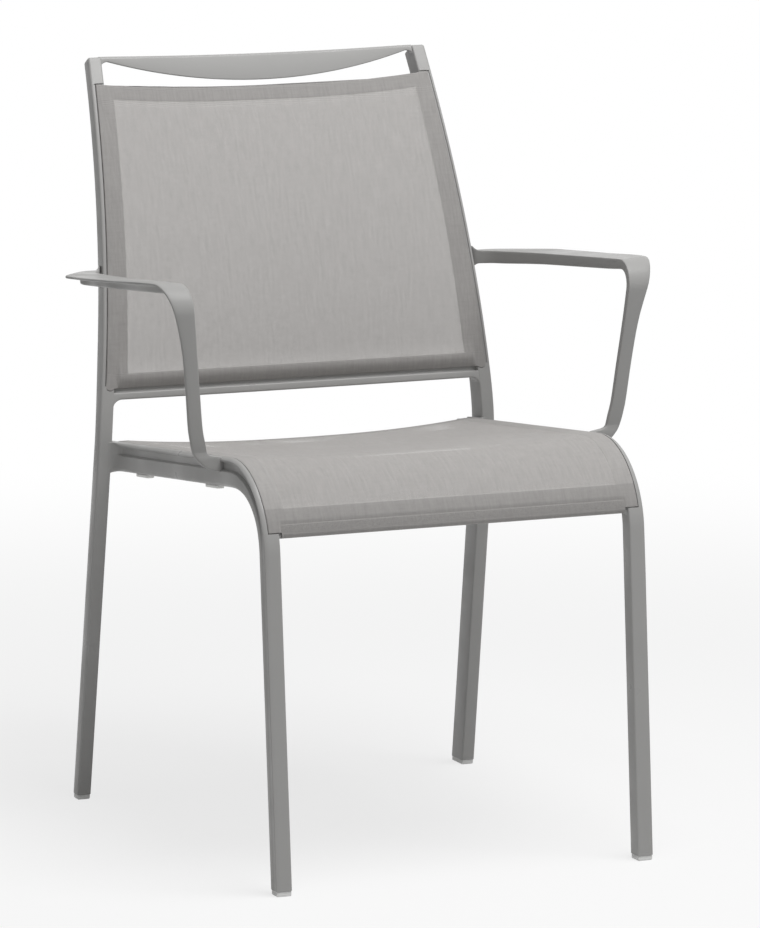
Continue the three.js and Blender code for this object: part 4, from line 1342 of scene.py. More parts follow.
@dataclass
class Armrest:
    """Cast armrest: a thin plate, ribbed under its inner edge, turned down into a flat post."""

    path: SidePath = SidePath((246.0, 620.8), (-131.4, 651.6), (-109.4, 426.0), 30.0)
    rib_width: float = 11.5
    # outer side of the rib where it is widened at the root, and how far past the root that fades
    rib_outer: float = 268.5
    flare_length: float = 36.0
    # the root's fillet: where it ends, its length, and how far it lifts and spreads the rib's inner side
    root_end: float = 24.0
    root_length: float = 14.0
    root_lift: float = 9.0
    root_spread: float = 6.5
    edge_round: float = 1.4
    # how far the control rings lie outside the finished surface, which subdivision draws in
    cage_lift: float = 0.3
    # distances of the rings at the root, where the shape changes fastest
    root_rings: tuple = (*range(2, 25, 2), 27, 31, 36, 42, 48, 55, 62, 70, 78, 84, 90, 96)
    foot_rings: int = 24
    # distance along the skin, inner x, outer x, rib depth, plate thickness
    sections: tuple = (
        (0, 230, 233.5, 15, 4.2),
        (4, 230.5, 237, 15.2, 4.2),
        (11.5, 233, 243.5, 15.2, 4.2),
        (18, 237, 253, 15.2, 4.2),
        (22, 239.6, 259, 15.2, 4.2),
        (28, 243, 265.5, 15.1, 4.2),
        (36, 246.4, 271, 15, 4.2),
        (45.5, 248.6, 277, 15, 4.2),
        (76, 253, 297, 14.5, 4.1),
        (88, 254.7, 303.2, 14.3, 4),
        (100, 256.2, 306, 14, 4),
        (150, 261, 307, 13.4, 3.9),
        (230, 262.2, 303.5, 13.1, 3.7),
        (320, 262.6, 299.8, 12.6, 3.6),
        (352, 262.8, 295, 11.6, 3.6),
        (372, 261.6, 289.4, 10.2, 3.6),
        (398, 259.5, 282, 8.8, 3.8),
        (430, 256.6, 274, 8.4, 4.6),
        (480, 251.2, 267.4, 8.2, 5.6),
        (525, 246.2, 262.8, 7.6, 5.8),
        (543, 242.4, 259.6, 7.2, 5.6),
    )
    # distance along the skin, how far the plate's outer edge is turned up
    edge_rise: tuple = (
        (0, 0),
        (10, 0.9),
        (20, 1.4),
        (100, 1.2),
        (150, 1),
        (230, 1.1),
        (320, 1.9),
        (360, 1.1),
        (400, 0),
    )
    # height, inner x, outer x, front y, rear y
    foot: tuple = (
        (464, 241, 257.6, -113, -106.1),
        (461.4, 239.2, 256.4, -113.3, -105.8),
        (459.8, 236, 255.5, -113.5, -105.5),
        (458.8, 231.5, 255, -113.7, -105.2),
        (458, 226.5, 254.4, -113.9, -105),
        (457.2, 221.6, 253.8, -114, -104.9),
        (455, 221.8, 252, -114.2, -104.6),
        (452, 221.8, 249.5, -114.3, -104.4),
        (448, 221.8, 245, -114.5, -104),
        (445, 221.8, 239, -114.6, -103.8),
        (443, 221.8, 233, -114.6, -104),
        (441.5, 221.8, 226, -114.6, -104.2),
    )

    def section(
        self,
        values: np.ndarray,
        root: np.ndarray,
        flare: Number = 0.0,
        rise: Number = 0.0,
    ) -> np.ndarray:
        """Control outlines: plate on top, rib under its inner edge, raised and spread at the root.

        Args:
            values: inner x, outer x, depth and plate thickness of each station.
            root: 1 at the upright and 0 clear of it.
            flare: 1 where the rib is widened outward and 0 where it has its own width.
            rise: how far the outer edge is turned up.

        Returns:
            Stations, points and (x, depth below the top).
        """
        inner, outer, depth, plate = values.T
        width = outer - inner
        rib = inner + self.rib_width
        widened = mix(rib, np.maximum(rib, self.rib_outer), flare)
        rib = np.minimum(widened, outer - np.minimum(2.6, width * 0.3))
        web = depth - plate
        lift = self.root_lift * root
        wide = np.minimum(self.root_spread, width * 0.25) * root
        r = np.minimum(self.edge_round, width * 0.2)
        top_in = inner + r + wide
        corners = [
            (inner, 1.2 - lift * 0.95),
            (inner + r * 0.35 + wide * 0.25, 0.4 - lift * 0.6),
            (top_in, 0 * r - lift * 0.12),
            (mix(top_in, outer - r, 0.5), 0 * r - 0.1 * (1 - root)),
            (outer - r, 0 * r),
            (outer, 1 + 0 * r),
            (outer, plate - 1.1),
            (outer - r * 0.6, plate),
            (np.minimum(rib + 2.2, outer - r * 0.9), plate + 0.1),
            (rib, plate + web * 0.3),
            (rib, depth - web * 0.24),
            (rib - r * 0.6, depth),
            (np.minimum(top_in, rib - r), depth + 0.05),
            (inner + r * 0.4 + wide * 0.25, depth - 0.6 + lift * 0.35),
            (inner, depth - 2 + lift * 1.15),
        ]
        section = np.stack([np.stack(c, -1) for c in corners], 1)
        share = (section[..., 0] - inner[:, None]) / width[:, None]
        section[..., 1] -= column(rise, len(values))[:, None] * np.maximum(share, 0) ** 1.5
        return section

    def stations(self) -> np.ndarray:
        """Distances of the arm's rings along the skin.

        Returns:
            The distances, from the upright to the post's lower end.
        """
        path = self.path
        arm = np.linspace(104, 320, 16)
        bend = np.linspace(path.bend_start, path.bend_end, 13)
        post = np.linspace(path.bend_end + 12, 515, 9)
        return np.concatenate([self.root_rings, arm, bend, post, [526, 535, 540]]).astype(float)

    def rings(self) -> np.ndarray:
        """Control rings of the right armrest, from the upright to the rail.

        Returns:
            The rings.
        """
        distance = self.stations()
        at_root = self.root_end - distance
        root = np.clip(at_root / self.root_length, 0, 1) ** 2.6
        flare = 1 - smooth(-at_root / self.flare_length)
        rise = table_at(self.edge_rise, distance)[:, 0] + self.cage_lift
        section = self.section(table_at(self.sections, distance), root, flare, rise)
        x = section[..., 0]
        y, z = self.path.below(distance, section[..., 1])
        free = UPRIGHT.inner_x(z) + UPRIGHT.width - WELD + (x - self.sections[0][1]) * 0.05
        x = np.where(at_root[:, None] > 0, np.maximum(x, free), x)
        return np.concatenate([np.stack([x, y, z], -1), self.foot_cage()])

    def foot_cage(self) -> np.ndarray:
        """Control rings of the foot, level down the side of the rail.

        Returns:
            The rings.
        """
        foot = np.array(self.foot, float)
        drop = np.linspace(-foot[0, 0], -foot[-1, 0], self.foot_rings)
        height, inner, outer, front, rear = table_at(np.column_stack([-foot[:, 0], foot]), drop).T
        depth = rear - front
        flat = self.section(np.stack([inner, outer, depth, depth - 1.8], -1), 0 * depth)
        level = np.broadcast_to(height[:, None], flat.shape[:2])
        return np.stack([flat[..., 0], front[:, None] + flat[..., 1], level], -1)

    def build(self, finishes: Finishes) -> None:
        """Adds both armrests."""
        shell = loft(self.rings())
        add_pair("armrest_casting", shell, finishes.cast, Slot.FRAME, "armrest", sharp=75, subdivision=2)


@dataclass
class CrossRails:
    """The members that run across: top rail, lower back rail, front bar, rear bar and spreader."""

    # top rail: lower edge in the middle, dip of the upper edge, height at the ends, thickness, lean
    top_bottom: float = 823.6
    top_dip: float = 2.7
    top_end_height: float = 6.9
    top_thickness: float = 11.0
    top_lean: float = 0.38
    top_fillet: float = 9.0
    top_edge: float = 2.4
    # lower back rail: its step says how far back, and down to where, its top is cut away for the cloth
    lower_bottom: float = 475.7
    lower_top: float = 489.5
    lower_step: tuple[float, float] = (5.0, 484.2)
    lower_depth: float = 21.8
    lower_back: float = 0.3
    lower_rise: float = 0.6
    lower_fillet: float = 10.5
    # front bar, and the cloth folded round it: how far it stands proud, laps over and ends short
    front_bottom: float = 385.1
    front_top: float = 402.0
    front_depth: float = 15.0
    front_edge: float = 4.0
    front_fillet: float = 7.0
    cloth: float = 1.3
    fold_proud: float = 1.2
    fold_over: float = 4.0
    fold_clear: float = 2.4
    fold_edge: float = 6.6
    # rear bar: its place, half its depth and height, its edge and its bow
    rear_y: float = 190.0
    rear_z: float = 410.4
    rear_half: tuple[float, float] = (8.0, 10.0)
    rear_edge: float = 4.0
    rear_bow: float = 5.0
    # spreader: its place, how far its axis lies under the rail's line, its radius and its bow
    spreader_y: float = -10.0
    spreader_drop: float = 19.0
    spreader_radius: float = 8.0
    spreader_bow: float = 16.0
    # flanges: thickness, half their length and height, their corners, and half the screws' spacing
    flange: float = 4.0
    flange_half: tuple[float, float] = (23.0, 9.0)
    flange_edge: float = 5.0
    screw_offset: float = 16.0
    # radius, height and share of a hexagon of each ring of a screw head
    screw_profile: tuple = (
        (4.9, 0, 0),
        (5, 0.4, 0),
        (4.9, 1.1, 0),
        (4.2, 2.6, 0),
        (3.1, 3.3, 0),
        (2.2, 3.6, 0.5),
        (1.5, 3.6, 1),
        (1.5, 1.8, 1),
    )

    @staticmethod
    def stations(span: float, fillet: float) -> tuple[np.ndarray, np.ndarray]:
        """Stations across a rail, close together where a fillet runs down its ends.

        Args:
            span: half the rail's length.
            fillet: the fillet's radius.

        Returns:
            The stations from -1 to 1, and their distances from the nearer end.
        """
        inset = np.concatenate([fillet * crowded(9), np.linspace(fillet, span, 24)[1:]])
        t = 1 - inset / span
        t = np.concatenate([-t[:-1], t[::-1]])
        return t, span - np.abs(t) * span

    def top_rail(self) -> Shell:
        """The crescent top rail: thin at its ends, deepest in the middle, its top edge dipping a little.

        Its lower edge rises to the ends by a square law, its upper edge dips by the same one, and a round
        fillet runs down each upright.

        Returns:
            The surface.
        """
        top = UPRIGHT.top - 0.2
        span = float(UPRIGHT.inner_x(top)) + WELD
        t, inset = self.stations(span, self.top_fillet)
        share = np.minimum(1, (span - inset) / (span - self.top_fillet)) ** 2
        hang = self.top_fillet * fillet_left(inset, self.top_fillet)
        low = mix(self.top_bottom, top - self.top_end_height, share) - hang * 0.7
        high = top - self.top_dip * (1 - share)
        thick = np.minimum(self.top_thickness, (high - low) * 0.8 + 4)
        section = outline(
            len(t),
            [
                (0, high, self.top_edge, 5),
                (thick, high - 1.5, self.top_edge, 5),
                (thick * 0.8, low, np.minimum(self.top_edge, thick * 0.3), 4),
                (0.5, low + 0.6, 1.6, 4),
            ],
        )
        y, z = section[..., 0], section[..., 1]
        back = float(UPRIGHT.face_y(top)) + 1.2 + y + self.top_lean * (z - top)
        return loft(np.stack([t[:, None] * UPRIGHT.reach(z, back - UPRIGHT.face_y(z)), back, z], -1))

    def lower_back_rail(self) -> Shell:
        """The lower back rail: stepped on top for the cloth's edge, with a fillet down each upright.

        Returns:
            The surface.
        """
        t, inset = self.stations(float(UPRIGHT.inner_x(self.lower_top)), self.lower_fillet)
        hang = self.lower_fillet * fillet_left(inset, self.lower_fillet)
        low = self.lower_bottom + self.lower_rise * t**2 - hang
        deep, top = self.lower_depth, self.lower_top
        back, step = self.lower_step
        section = outline(
            len(t),
            [
                (0, low, 2, 4),
                (deep, low, 3, 5),
                (deep, top, 3, 5),
                (back, top, 1, 3),
                (back, step, 1, 3),
                (0, step, 1.2, 4),
            ],
        )
        y, z = section[..., 0], section[..., 1]
        x = t[:, None] * UPRIGHT.reach(z, y + self.lower_back)
        return loft(np.stack([x, UPRIGHT.face_y(z) + self.lower_back + y, z], -1))

    def front_bar(self, wrapped: bool) -> Shell:
        """The front bar, or the fold of cloth that is wrapped round it between its ends.

        Args:
            wrapped: True for the cloth, and False for the bar.

        Returns:
            The surface.
        """
        span = RAIL.front_x + (0 if wrapped else WELD)
        t, inset = self.stations(span, self.front_fillet)
        if wrapped:
            clear = inset > self.fold_clear
            t, inset = t[clear], inset[clear]
            front, edge = -self.fold_proud, self.fold_edge
            low, deep = self.front_bottom, self.front_depth
            high = self.front_top + self.fold_over
        else:
            front, edge = self.cloth, self.front_edge
            hang = self.front_fillet * fillet_left(inset, self.front_fillet)
            low, deep = self.front_bottom - hang + self.cloth, self.front_depth - self.cloth
            high = self.front_top - self.cloth
        sizes = [(front, low), (deep, low), (deep, high), (front, high)]
        section = outline(len(t), [(y, z, edge, 8) for y, z in sizes])
        y, z = section[..., 0], section[..., 1]
        leg = np.linspace(RAIL.path.bend_start, RAIL.path.length, 4001)
        distance = np.interp(-z, -RAIL.path.at(leg)[0][:, 1], leg)
        face = RAIL.path.at(distance)[0][..., 0] + RAIL.channel.seat + 0.4
        rings = np.stack([np.broadcast_to(t[:, None] * span, z.shape), face + y, z], -1)
        if not wrapped:
            return loft(rings)
        side = np.linalg.norm(np.diff(section, axis=1, append=section[:, :1]), axis=-1)
        around = np.cumsum(side, axis=1) - side
        uv = np.stack([rings[..., 0], around], -1) * MM
        # the fold counts as doubled cloth, so it takes the hems' painted shade
        return loft(rings, uv, np.ones(z.shape))

    def rear_bar(self) -> Shell:
        """The rear bar under the back edge of the seat, bowed down in the middle by a square law.

        Returns:
            The surface.
        """
        end = float(RAIL.inner_x(RAIL.path.start[0] - self.rear_y)) - GAP - 0.1
        x = np.linspace(-end, end, 25)
        corners = [(y * self.rear_half[0], z * self.rear_half[1]) for y, z in SQUARE]
        section = outline(len(x), [(y, z, self.rear_edge, 5) for y, z in corners])
        bow = self.rear_bow * (1 - (x / end) ** 2)
        y, z = section[..., 0] + self.rear_y, section[..., 1] + self.rear_z - bow[:, None]
        return loft(np.stack([np.broadcast_to(x[:, None], z.shape), y, z], -1))

    def spreader(self) -> tuple[Shell, float, float]:
        """The bowed spreader tube with a flange at each end, and where its flanges are.

        Returns:
            The surface, the x of the flanges' outer faces and their height.
        """
        distance = np.array([RAIL.path.start[0] - self.spreader_y])
        long, tall = self.flange_half
        end = float(RAIL.inner_x(distance + long)[0]) - GAP
        height = float(RAIL.path.at(distance)[0][0, 1]) - self.spreader_drop
        x = np.linspace(-end + 2, end - 2, 41)[:, None]
        turn = whole_turn(32)
        bow = self.spreader_bow * (1 - (x / end) ** 2)
        y = self.spreader_y + self.spreader_radius * np.cos(turn) + 0 * x
        z = height - bow + self.spreader_radius * np.sin(turn)
        tube = loft(np.stack([x + 0 * y, y, z], -1))
        deep = np.array([0, 0.3, 1, self.flange - 0.6, self.flange])
        draw = np.array([0.6, 0.15, 0, 0, 0.5])
        corners = [(a * (long - draw), b * (tall - draw)) for a, b in SQUARE]
        plate = outline(len(deep), [(a, b, self.flange_edge - draw, 5) for a, b in corners])
        inward = np.broadcast_to(end - deep[:, None], plate.shape[:2])
        right = loft(np.stack([inward, self.spreader_y + plate[..., 0], height + plate[..., 1]], -1))
        return joined(tube, right, right.mirrored()), end, height

    def screw(self) -> np.ndarray:
        """Rings of a domed screw head with a hexagon socket, its axis along X and its top towards -X.

        A ring's radius is the profile's, and inside the socket it is that of a hexagon: the flat's distance
        over the cosine of the angle from the middle of the flat.

        Returns:
            The rings about the screw's seat.
        """
        turn = whole_turn(24)
        sixth = math.pi / 3
        hexagon = 1 / np.cos((turn + sixth / 2) % sixth - sixth / 2)
        radius, height, share = np.array(self.screw_profile, float).T[:, :, None]
        r = radius * mix(1.0, hexagon, share)
        return np.stack([-height + 0 * r, r * np.cos(turn), r * np.sin(turn)], -1)

    def build(self, finishes: Finishes) -> None:
        """Adds the cross rails, the spreader and its screws.

        Args:
            finishes: the chair's finishes.
        """
        spreader, end, height = self.spreader()
        rails = {
            "top_rail_shell": (self.top_rail(), "top_rail"),
            "lower_back_rail_shell": (self.lower_back_rail(), "lower_back_rail"),
            "front_bar_shell": (self.front_bar(False), "seat_front_bar"),
            "rear_bar_shell": (self.rear_bar(), "seat_rear_bar"),
            "spreader_shell": (spreader, "seat_spreader_bar"),
        }
        for name, (shell, node) in rails.items():
            add_piece(name, shell, finishes.frame, Slot.FRAME, [node])
        for word, offset in (("front", -self.screw_offset), ("rear", self.screw_offset)):
            rings = self.screw() + (end - self.flange - 0.2, self.spreader_y + offset, height)
            add_pair(f"{word}_screw_head", loft(rings), finishes.steel, Slot.SCREW, f"{word}_flange_screw")


@dataclass
class StackingPads:
    """Moulded pads under the seat rails, on which stacked chairs rest."""

    places: tuple = (("rear", 137.0), ("front", -72.0))
    half_length: float = 19.0
    sides: tuple[float, float] = (4.0, 13.4)
    corner: float = 4.0
    # how far under the rail its top lies, how far down its sides reach and the round of its rim
    play: float = 0.5
    hang: float = 2.6
    rim: float = 1.2

    def rings(self, y: float) -> np.ndarray:
        """Rings of the right-hand pad, a rounded oblong under the rail.

        Args:
            y: where its middle lies.

        Returns:
            The rings.
        """
        distance = np.array([RAIL.path.start[0] - y])
        outward = RAIL.path.at(distance)[1]
        tangent = np.array([-outward[0, 1], outward[0, 0]])
        turn = quarter(5)
        below = np.concatenate([[self.play], self.hang + self.rim * np.sin(turn)])
        draw = np.concatenate([[0], self.rim * (1 - np.cos(turn))])
        low, high = self.sides
        ends = self.half_length - draw
        corners = [(-ends, low + draw), (ends, low + draw), (ends, high - draw), (-ends, high - draw)]
        section = outline(len(below), [(a, b, self.corner - draw, 6) for a, b in corners])
        across = np.stack([section[..., 1], section[..., 1] * 0], -1)
        base = RAIL.place(np.full(len(below), distance[0]), across)
        down = (RAIL.depth(distance) + below)[:, None]
        for k in range(2):
            base[..., 1 + k] -= down * outward[0, k] - section[..., 0] * tangent[k]
        return base

    def build(self, finishes: Finishes) -> None:
        """Adds the four pads.

        Args:
            finishes: the chair's finishes.
        """
        for word, y in self.places:
            shell = loft(self.rings(y))
            add_pair(f"{word}_pad", shell, finishes.pad, Slot.PLASTIC, f"{word}_stacking_pad")


# Slings


@dataclass
class SlingBand:
    """What both slings share: a thin band across the chair whose edges turn down into the channels."""

    cloth: float = 1.4
    thin: float = 0.35
    # how deep the edges reach into the channels, the radius that turns them in, and how far in it starts
    edge_depth: float = 3.6
    turn_radius: float = 1.0
    turn_start: float = 0.7
    # half the width of the step where a hem ends, and the least share of the thickness at a free end
    hem_step: float = 0.7
    least: float = 0.12

    def single(self, along: np.ndarray, low: float, high: float) -> np.ndarray:
        """1 in the single panel between two hems that run across, and 0 in the hems."""
        return step_at(along - low, self.hem_step) * step_at(high - along, self.hem_step)

    def rounded(self, from_end: np.ndarray) -> np.ndarray:
        """Share of the cloth's thickness near a free end, a quarter round that is full from 1 on."""
        return np.maximum(np.sqrt(1 - (1 - np.clip(from_end, 0, 1)) ** 2), self.least)

    def across(self, half: np.ndarray, panel: np.ndarray) -> np.ndarray:
        """Positions across the band from edge to edge, close together at the hems' inner edges.

        Args:
            half: half the band's width at each station.
            panel: half the width of the single panel at each station.

        Returns:
            Stations and positions.
        """
        inner = np.concatenate([np.linspace(0, 1, 29)[:-1] ** 0.9, [1.0]])
        step = np.linspace(0, 1, 5)[1:]
        rest = np.linspace(0, 1, 17)[1:]
        p, h = panel[:, None], half[:, None]
        a = (p - self.hem_step) * inner
        b = p - self.hem_step + 2 * self.hem_step * step
        c = mix(p + self.hem_step, h - self.turn_start, rest)
        right = np.concatenate([a, b, c], axis=1)
        return np.concatenate([-right[:, :0:-1], right], axis=1)

    def band(
        self,
        half: np.ndarray,
        panel: np.ndarray,
        single: np.ndarray,
        thick: np.ndarray,
    ) -> tuple[np.ndarray, np.ndarray, np.ndarray]:
        """The band's closed section at each station.

        The front runs from edge to edge and the back returns. A layer that stops at a hem steps both faces
        towards the middle of the cloth. At the edges, a quarter round leads down into the channel.

        Args:
            half: half the width at each station.
            panel: half the width of the single panel at each station.
            single: 1 at a station in the single panel and 0 in a hem across the band.
            thick: share of the cloth's thickness at each station, which rounds off its free ends.

        Returns:
            The positions across, the levels above the seat of the channel, and the layers, at each point.
        """
        x = self.across(half, panel)
        alone = step_at(panel[:, None] - np.abs(x), self.hem_step) * single[:, None]
        full = thick[:, None]
        middle = self.cloth / 2
        rise = (middle - self.thin * alone) * full
        turn = quarter(6)[1:]
        r, start = self.turn_radius, half[:, None] - self.turn_start
        fall_x = start + (r + 0.4) * np.sin(turn) * (1 + full) / 2
        fall_z = middle * (1 + full) - r * (1 - np.cos(turn))
        deep = np.full_like(start, -self.edge_depth)
        right_x = np.concatenate([fall_x, fall_x[:, -1:]], axis=1)
        right_z = np.concatenate([fall_z, deep], axis=1)
        back_x = fall_x[:, -1:] - self.cloth
        xs = [-right_x[:, ::-1], x, right_x, back_x, x[:, ::-1], -back_x]
        zs = [right_z[:, ::-1], middle + rise, right_z, deep, middle - rise[:, ::-1], deep]
        edge = 0 * right_x
        panels = [edge, alone, edge, 0 * deep, alone[:, ::-1], 0 * deep]
        place, level, alone = (np.concatenate(parts, axis=1) for parts in (xs, zs, panels))
        return place, level, 1 - alone


@dataclass
class BackSling:
    """The back sling: flat across, hemmed all round, its lower hem rolled and its top edge cut in a dip."""

    bottom: float = 489.3
    dip: float = 9.2
    top_hem: float = 15.2
    bottom_hem: float = 16.6
    # the upper edge dips from this height on
    dip_start: float = 700.0
    # height and half width of the single panel at its top and its bottom
    panel_top: tuple[float, float] = (809.9, 189.3)
    panel_bottom: tuple[float, float] = (505.9, 210.3)
    # the rolled lower hem: its height, how far it turns back, and how far the cloth bulges above it
    roll_height: float = 12.0
    roll_depth: float = 5.0
    bulge: float = 2.0
    # how far from the bottom and the top the free edges are rounded
    edges: tuple[float, float] = (0.8, 1.2)
    # how far from the channel the roll begins, and the length over which it grows
    roll_clear: tuple[float, float] = (12.0, 3.0)
    # width, length and area of the cloth laid flat, in metres
    cut: tuple[float, float] = (0.476, 0.352)
    area: float = 0.158
    band: SlingBand = field(default_factory=SlingBand)

    def shell(self) -> Shell:
        """The sling's surface, with its cloth coordinates and layers.

        The cloth lies in the plane of the uprights' seats. Below, it bulges forward and then turns back by
        a power of the height, as its rolled hem does. Its upper edge dips by a power of the place across.

        Returns:
            The surface.
        """
        bottom, top = self.bottom, UPRIGHT.sling_top
        low, high = bottom + self.bottom_hem, top - self.top_hem
        step = self.band.hem_step
        under, over = self.edges
        z = spread(
            (bottom, bottom + under, 7),
            (bottom + under, bottom + 6, 9),
            (bottom + 7, low - step, 6),
            (low - step, low + step, 5),
            (low + step, high - step, 44),
            (high - step, high + step, 5),
            (high + step, top - over, 6),
            (top - over, top, 7),
        )
        half = UPRIGHT.inner_x(z) + UPRIGHT.channel.slot
        (top_z, top_x), (bottom_z, bottom_x) = self.panel_top, self.panel_bottom
        panel = top_x + (bottom_x - top_x) / (top_z - bottom_z) * (top_z - z)
        thick = self.band.rounded(np.minimum((z - bottom) / under, (top - z) / over))
        x, level, layers = self.band.band(half, panel, self.band.single(z, low, high), thick)
        up = z - bottom
        turned = self.roll_depth * np.clip(1 - up / self.roll_height, 0, 1) ** 1.6
        bulge = self.bulge * smooth((2.6 * self.roll_height - up) / (1.6 * self.roll_height))
        clear, length = self.roll_clear
        inside = smooth((half[:, None] - clear - np.abs(x)) / length)
        level = level + (bulge - turned)[:, None] * inside
        dip = self.dip * smooth((z - self.dip_start) / (top - self.dip_start))[:, None]
        height = z[:, None] - dip * (1 - np.minimum(1, np.abs(x) / half[:, None]) ** 2.6)
        height = height + self.tongue(x, z) * (1 - smooth(up / self.roll_height))[:, None]
        depth = UPRIGHT.channel.seat - GAP - level
        rings = UPRIGHT.place(height, np.stack([0 * x, depth], -1))
        rings[..., 0] = x
        run = np.cumsum(np.hypot(1, UPRIGHT.slope(z)) * np.gradient(z))
        uv = np.stack([x, run[:, None] + (height - z[:, None])], -1) * MM
        return loft(rings, uv, layers)

    def tongue(self, x: np.ndarray, z: np.ndarray) -> np.ndarray:
        """How far the bottom edge is moved to fill the round end of the seat in each upright.

        The seat ends in a half round, so the edge there is the centre's height less the root of the radius
        squared less the distance across squared.

        Args:
            x: places across, one row per height.
            z: the heights.

        Returns:
            How far each point moves up, or down where it is negative, and 0 between the uprights.
        """
        radius = UPRIGHT.end_radius
        u = np.abs(x) - UPRIGHT.inner_x(z)[:, None]
        away = np.clip(u - radius + 1, 0.1 - radius, radius - 0.1)
        edge = UPRIGHT.sling_end + GAP - np.sqrt(radius**2 - away**2) - self.bottom
        return np.where(u < 0.5, 0, edge)

    def build(self, finishes: Finishes) -> None:
        """Adds the back sling.

        Args:
            finishes: the chair's finishes.
        """
        cloth = finishes.sling
        piece = add_piece("back_sling_cloth", self.shell(), cloth, Slot.SLING, ["back_sling"], sharp=60)


@dataclass
class SeatSling:
    """The seat sling: level between the rails in front, sagging behind, wrapped round the front bar."""

    rear_y: float = 210.0
    # sag behind, and the share of the seat's length from which it eases off
    sag: float = 9.4
    sag_start: float = 0.55
    side_hem: float = 20.5
    # share of a second layer that the side hems count as: it shuts their holes all the same, but gives them
    # only this share of the hems' painted shade
    side_painted_shade: float = 0.55
    front_hem_top: float = 416.5
    rear_hem: float = 16.0
    # height at which the cloth is drawn in round the front bar, how far, and over what length
    tuck_top: float = 405.0
    tuck: float = 1.3
    tuck_length: float = 7.0
    roll: float = 2.8
    edge: float = 0.8
    # width, length and area of the cloth laid flat, in metres
    cut: tuple[float, float] = (0.445, 0.459)
    area: float = 0.203
    band: SlingBand = field(default_factory=SlingBand)

    def shell(self) -> Shell:
        """The sling's surface from its rear edge to the front bar, with its cloth coordinates and layers.

        The cloth sags between the rails by a power of the place across, and less towards the front.

        Returns:
            The surface.
        """
        path = RAIL.path
        rear = (path.start[0] - self.rear_y) * 1.004
        front = RAIL.distance_at(RAIL.sling_front) - self.edge
        low, high = rear + self.rear_hem, RAIL.distance_at(self.front_hem_top)
        tuck = RAIL.distance_at(self.tuck_top)
        step, edge = self.band.hem_step, self.edge
        s = spread(
            (rear, rear + edge, 5),
            (rear + edge, rear + 5, 7),
            (rear + 6, low - step, 4),
            (low - step, low + step, 5),
            (low + step, path.bend_start, 36),
            (path.bend_start, high - step, 34),
            (high - step, high + step, 5),
            (high + step, tuck - 1, 6),
            (tuck - 1, tuck + 5, 9),
            (tuck + 5, front - edge, 5),
            (front - edge, front, 5),
        )
        inner = column(RAIL.inner_x(s), len(s))
        half = inner + RAIL.channel.slot
        single = self.band.single(s, low, high)
        thick = self.band.rounded(np.minimum(s - rear, front - s) / edge)
        x, level, layers = self.band.band(half, half - self.side_hem, single, thick)
        # the side hems take only part of the hems' painted shade
        layers = layers * mix(1.0, self.side_painted_shade, single[:, None])
        start = self.sag_start * path.bend_start
        sag = self.sag * (1 - smooth((s - start) / (front - start)))[:, None]
        level = level - sag * np.maximum(0, 1 - (np.abs(x) / inner[:, None]) ** 2.5)
        tucked = self.tuck * smooth((s - tuck) / self.tuck_length)
        drawn = self.roll * fillet_left(s - rear, self.roll) + tucked
        level = level - drawn[:, None] * smooth((inner[:, None] - 1.0 - np.abs(x)) / 3)
        depth = RAIL.channel.seat - GAP - level
        rings = RAIL.place(s, np.stack([0 * x, depth], -1))
        rings[..., 0] = x
        uv = np.stack([x, np.broadcast_to(s[:, None], x.shape)], -1) * MM
        return loft(rings, uv, layers)

    def build(self, finishes: Finishes, rails: CrossRails) -> None:
        """Adds the seat sling and the fold of it that is wrapped round the front bar.

        Args:
            finishes: the chair's finishes.
            rails: the cross rails, which know the front bar's shape.
        """
        cloth = finishes.sling
        piece = add_piece("seat_sling_cloth", self.shell(), cloth, Slot.SLING, ["seat_sling"], sharp=60)
        fold = add_piece("seat_sling_front_fold", rails.front_bar(True), cloth, Slot.SLING, sharp=60)


# Surroundings


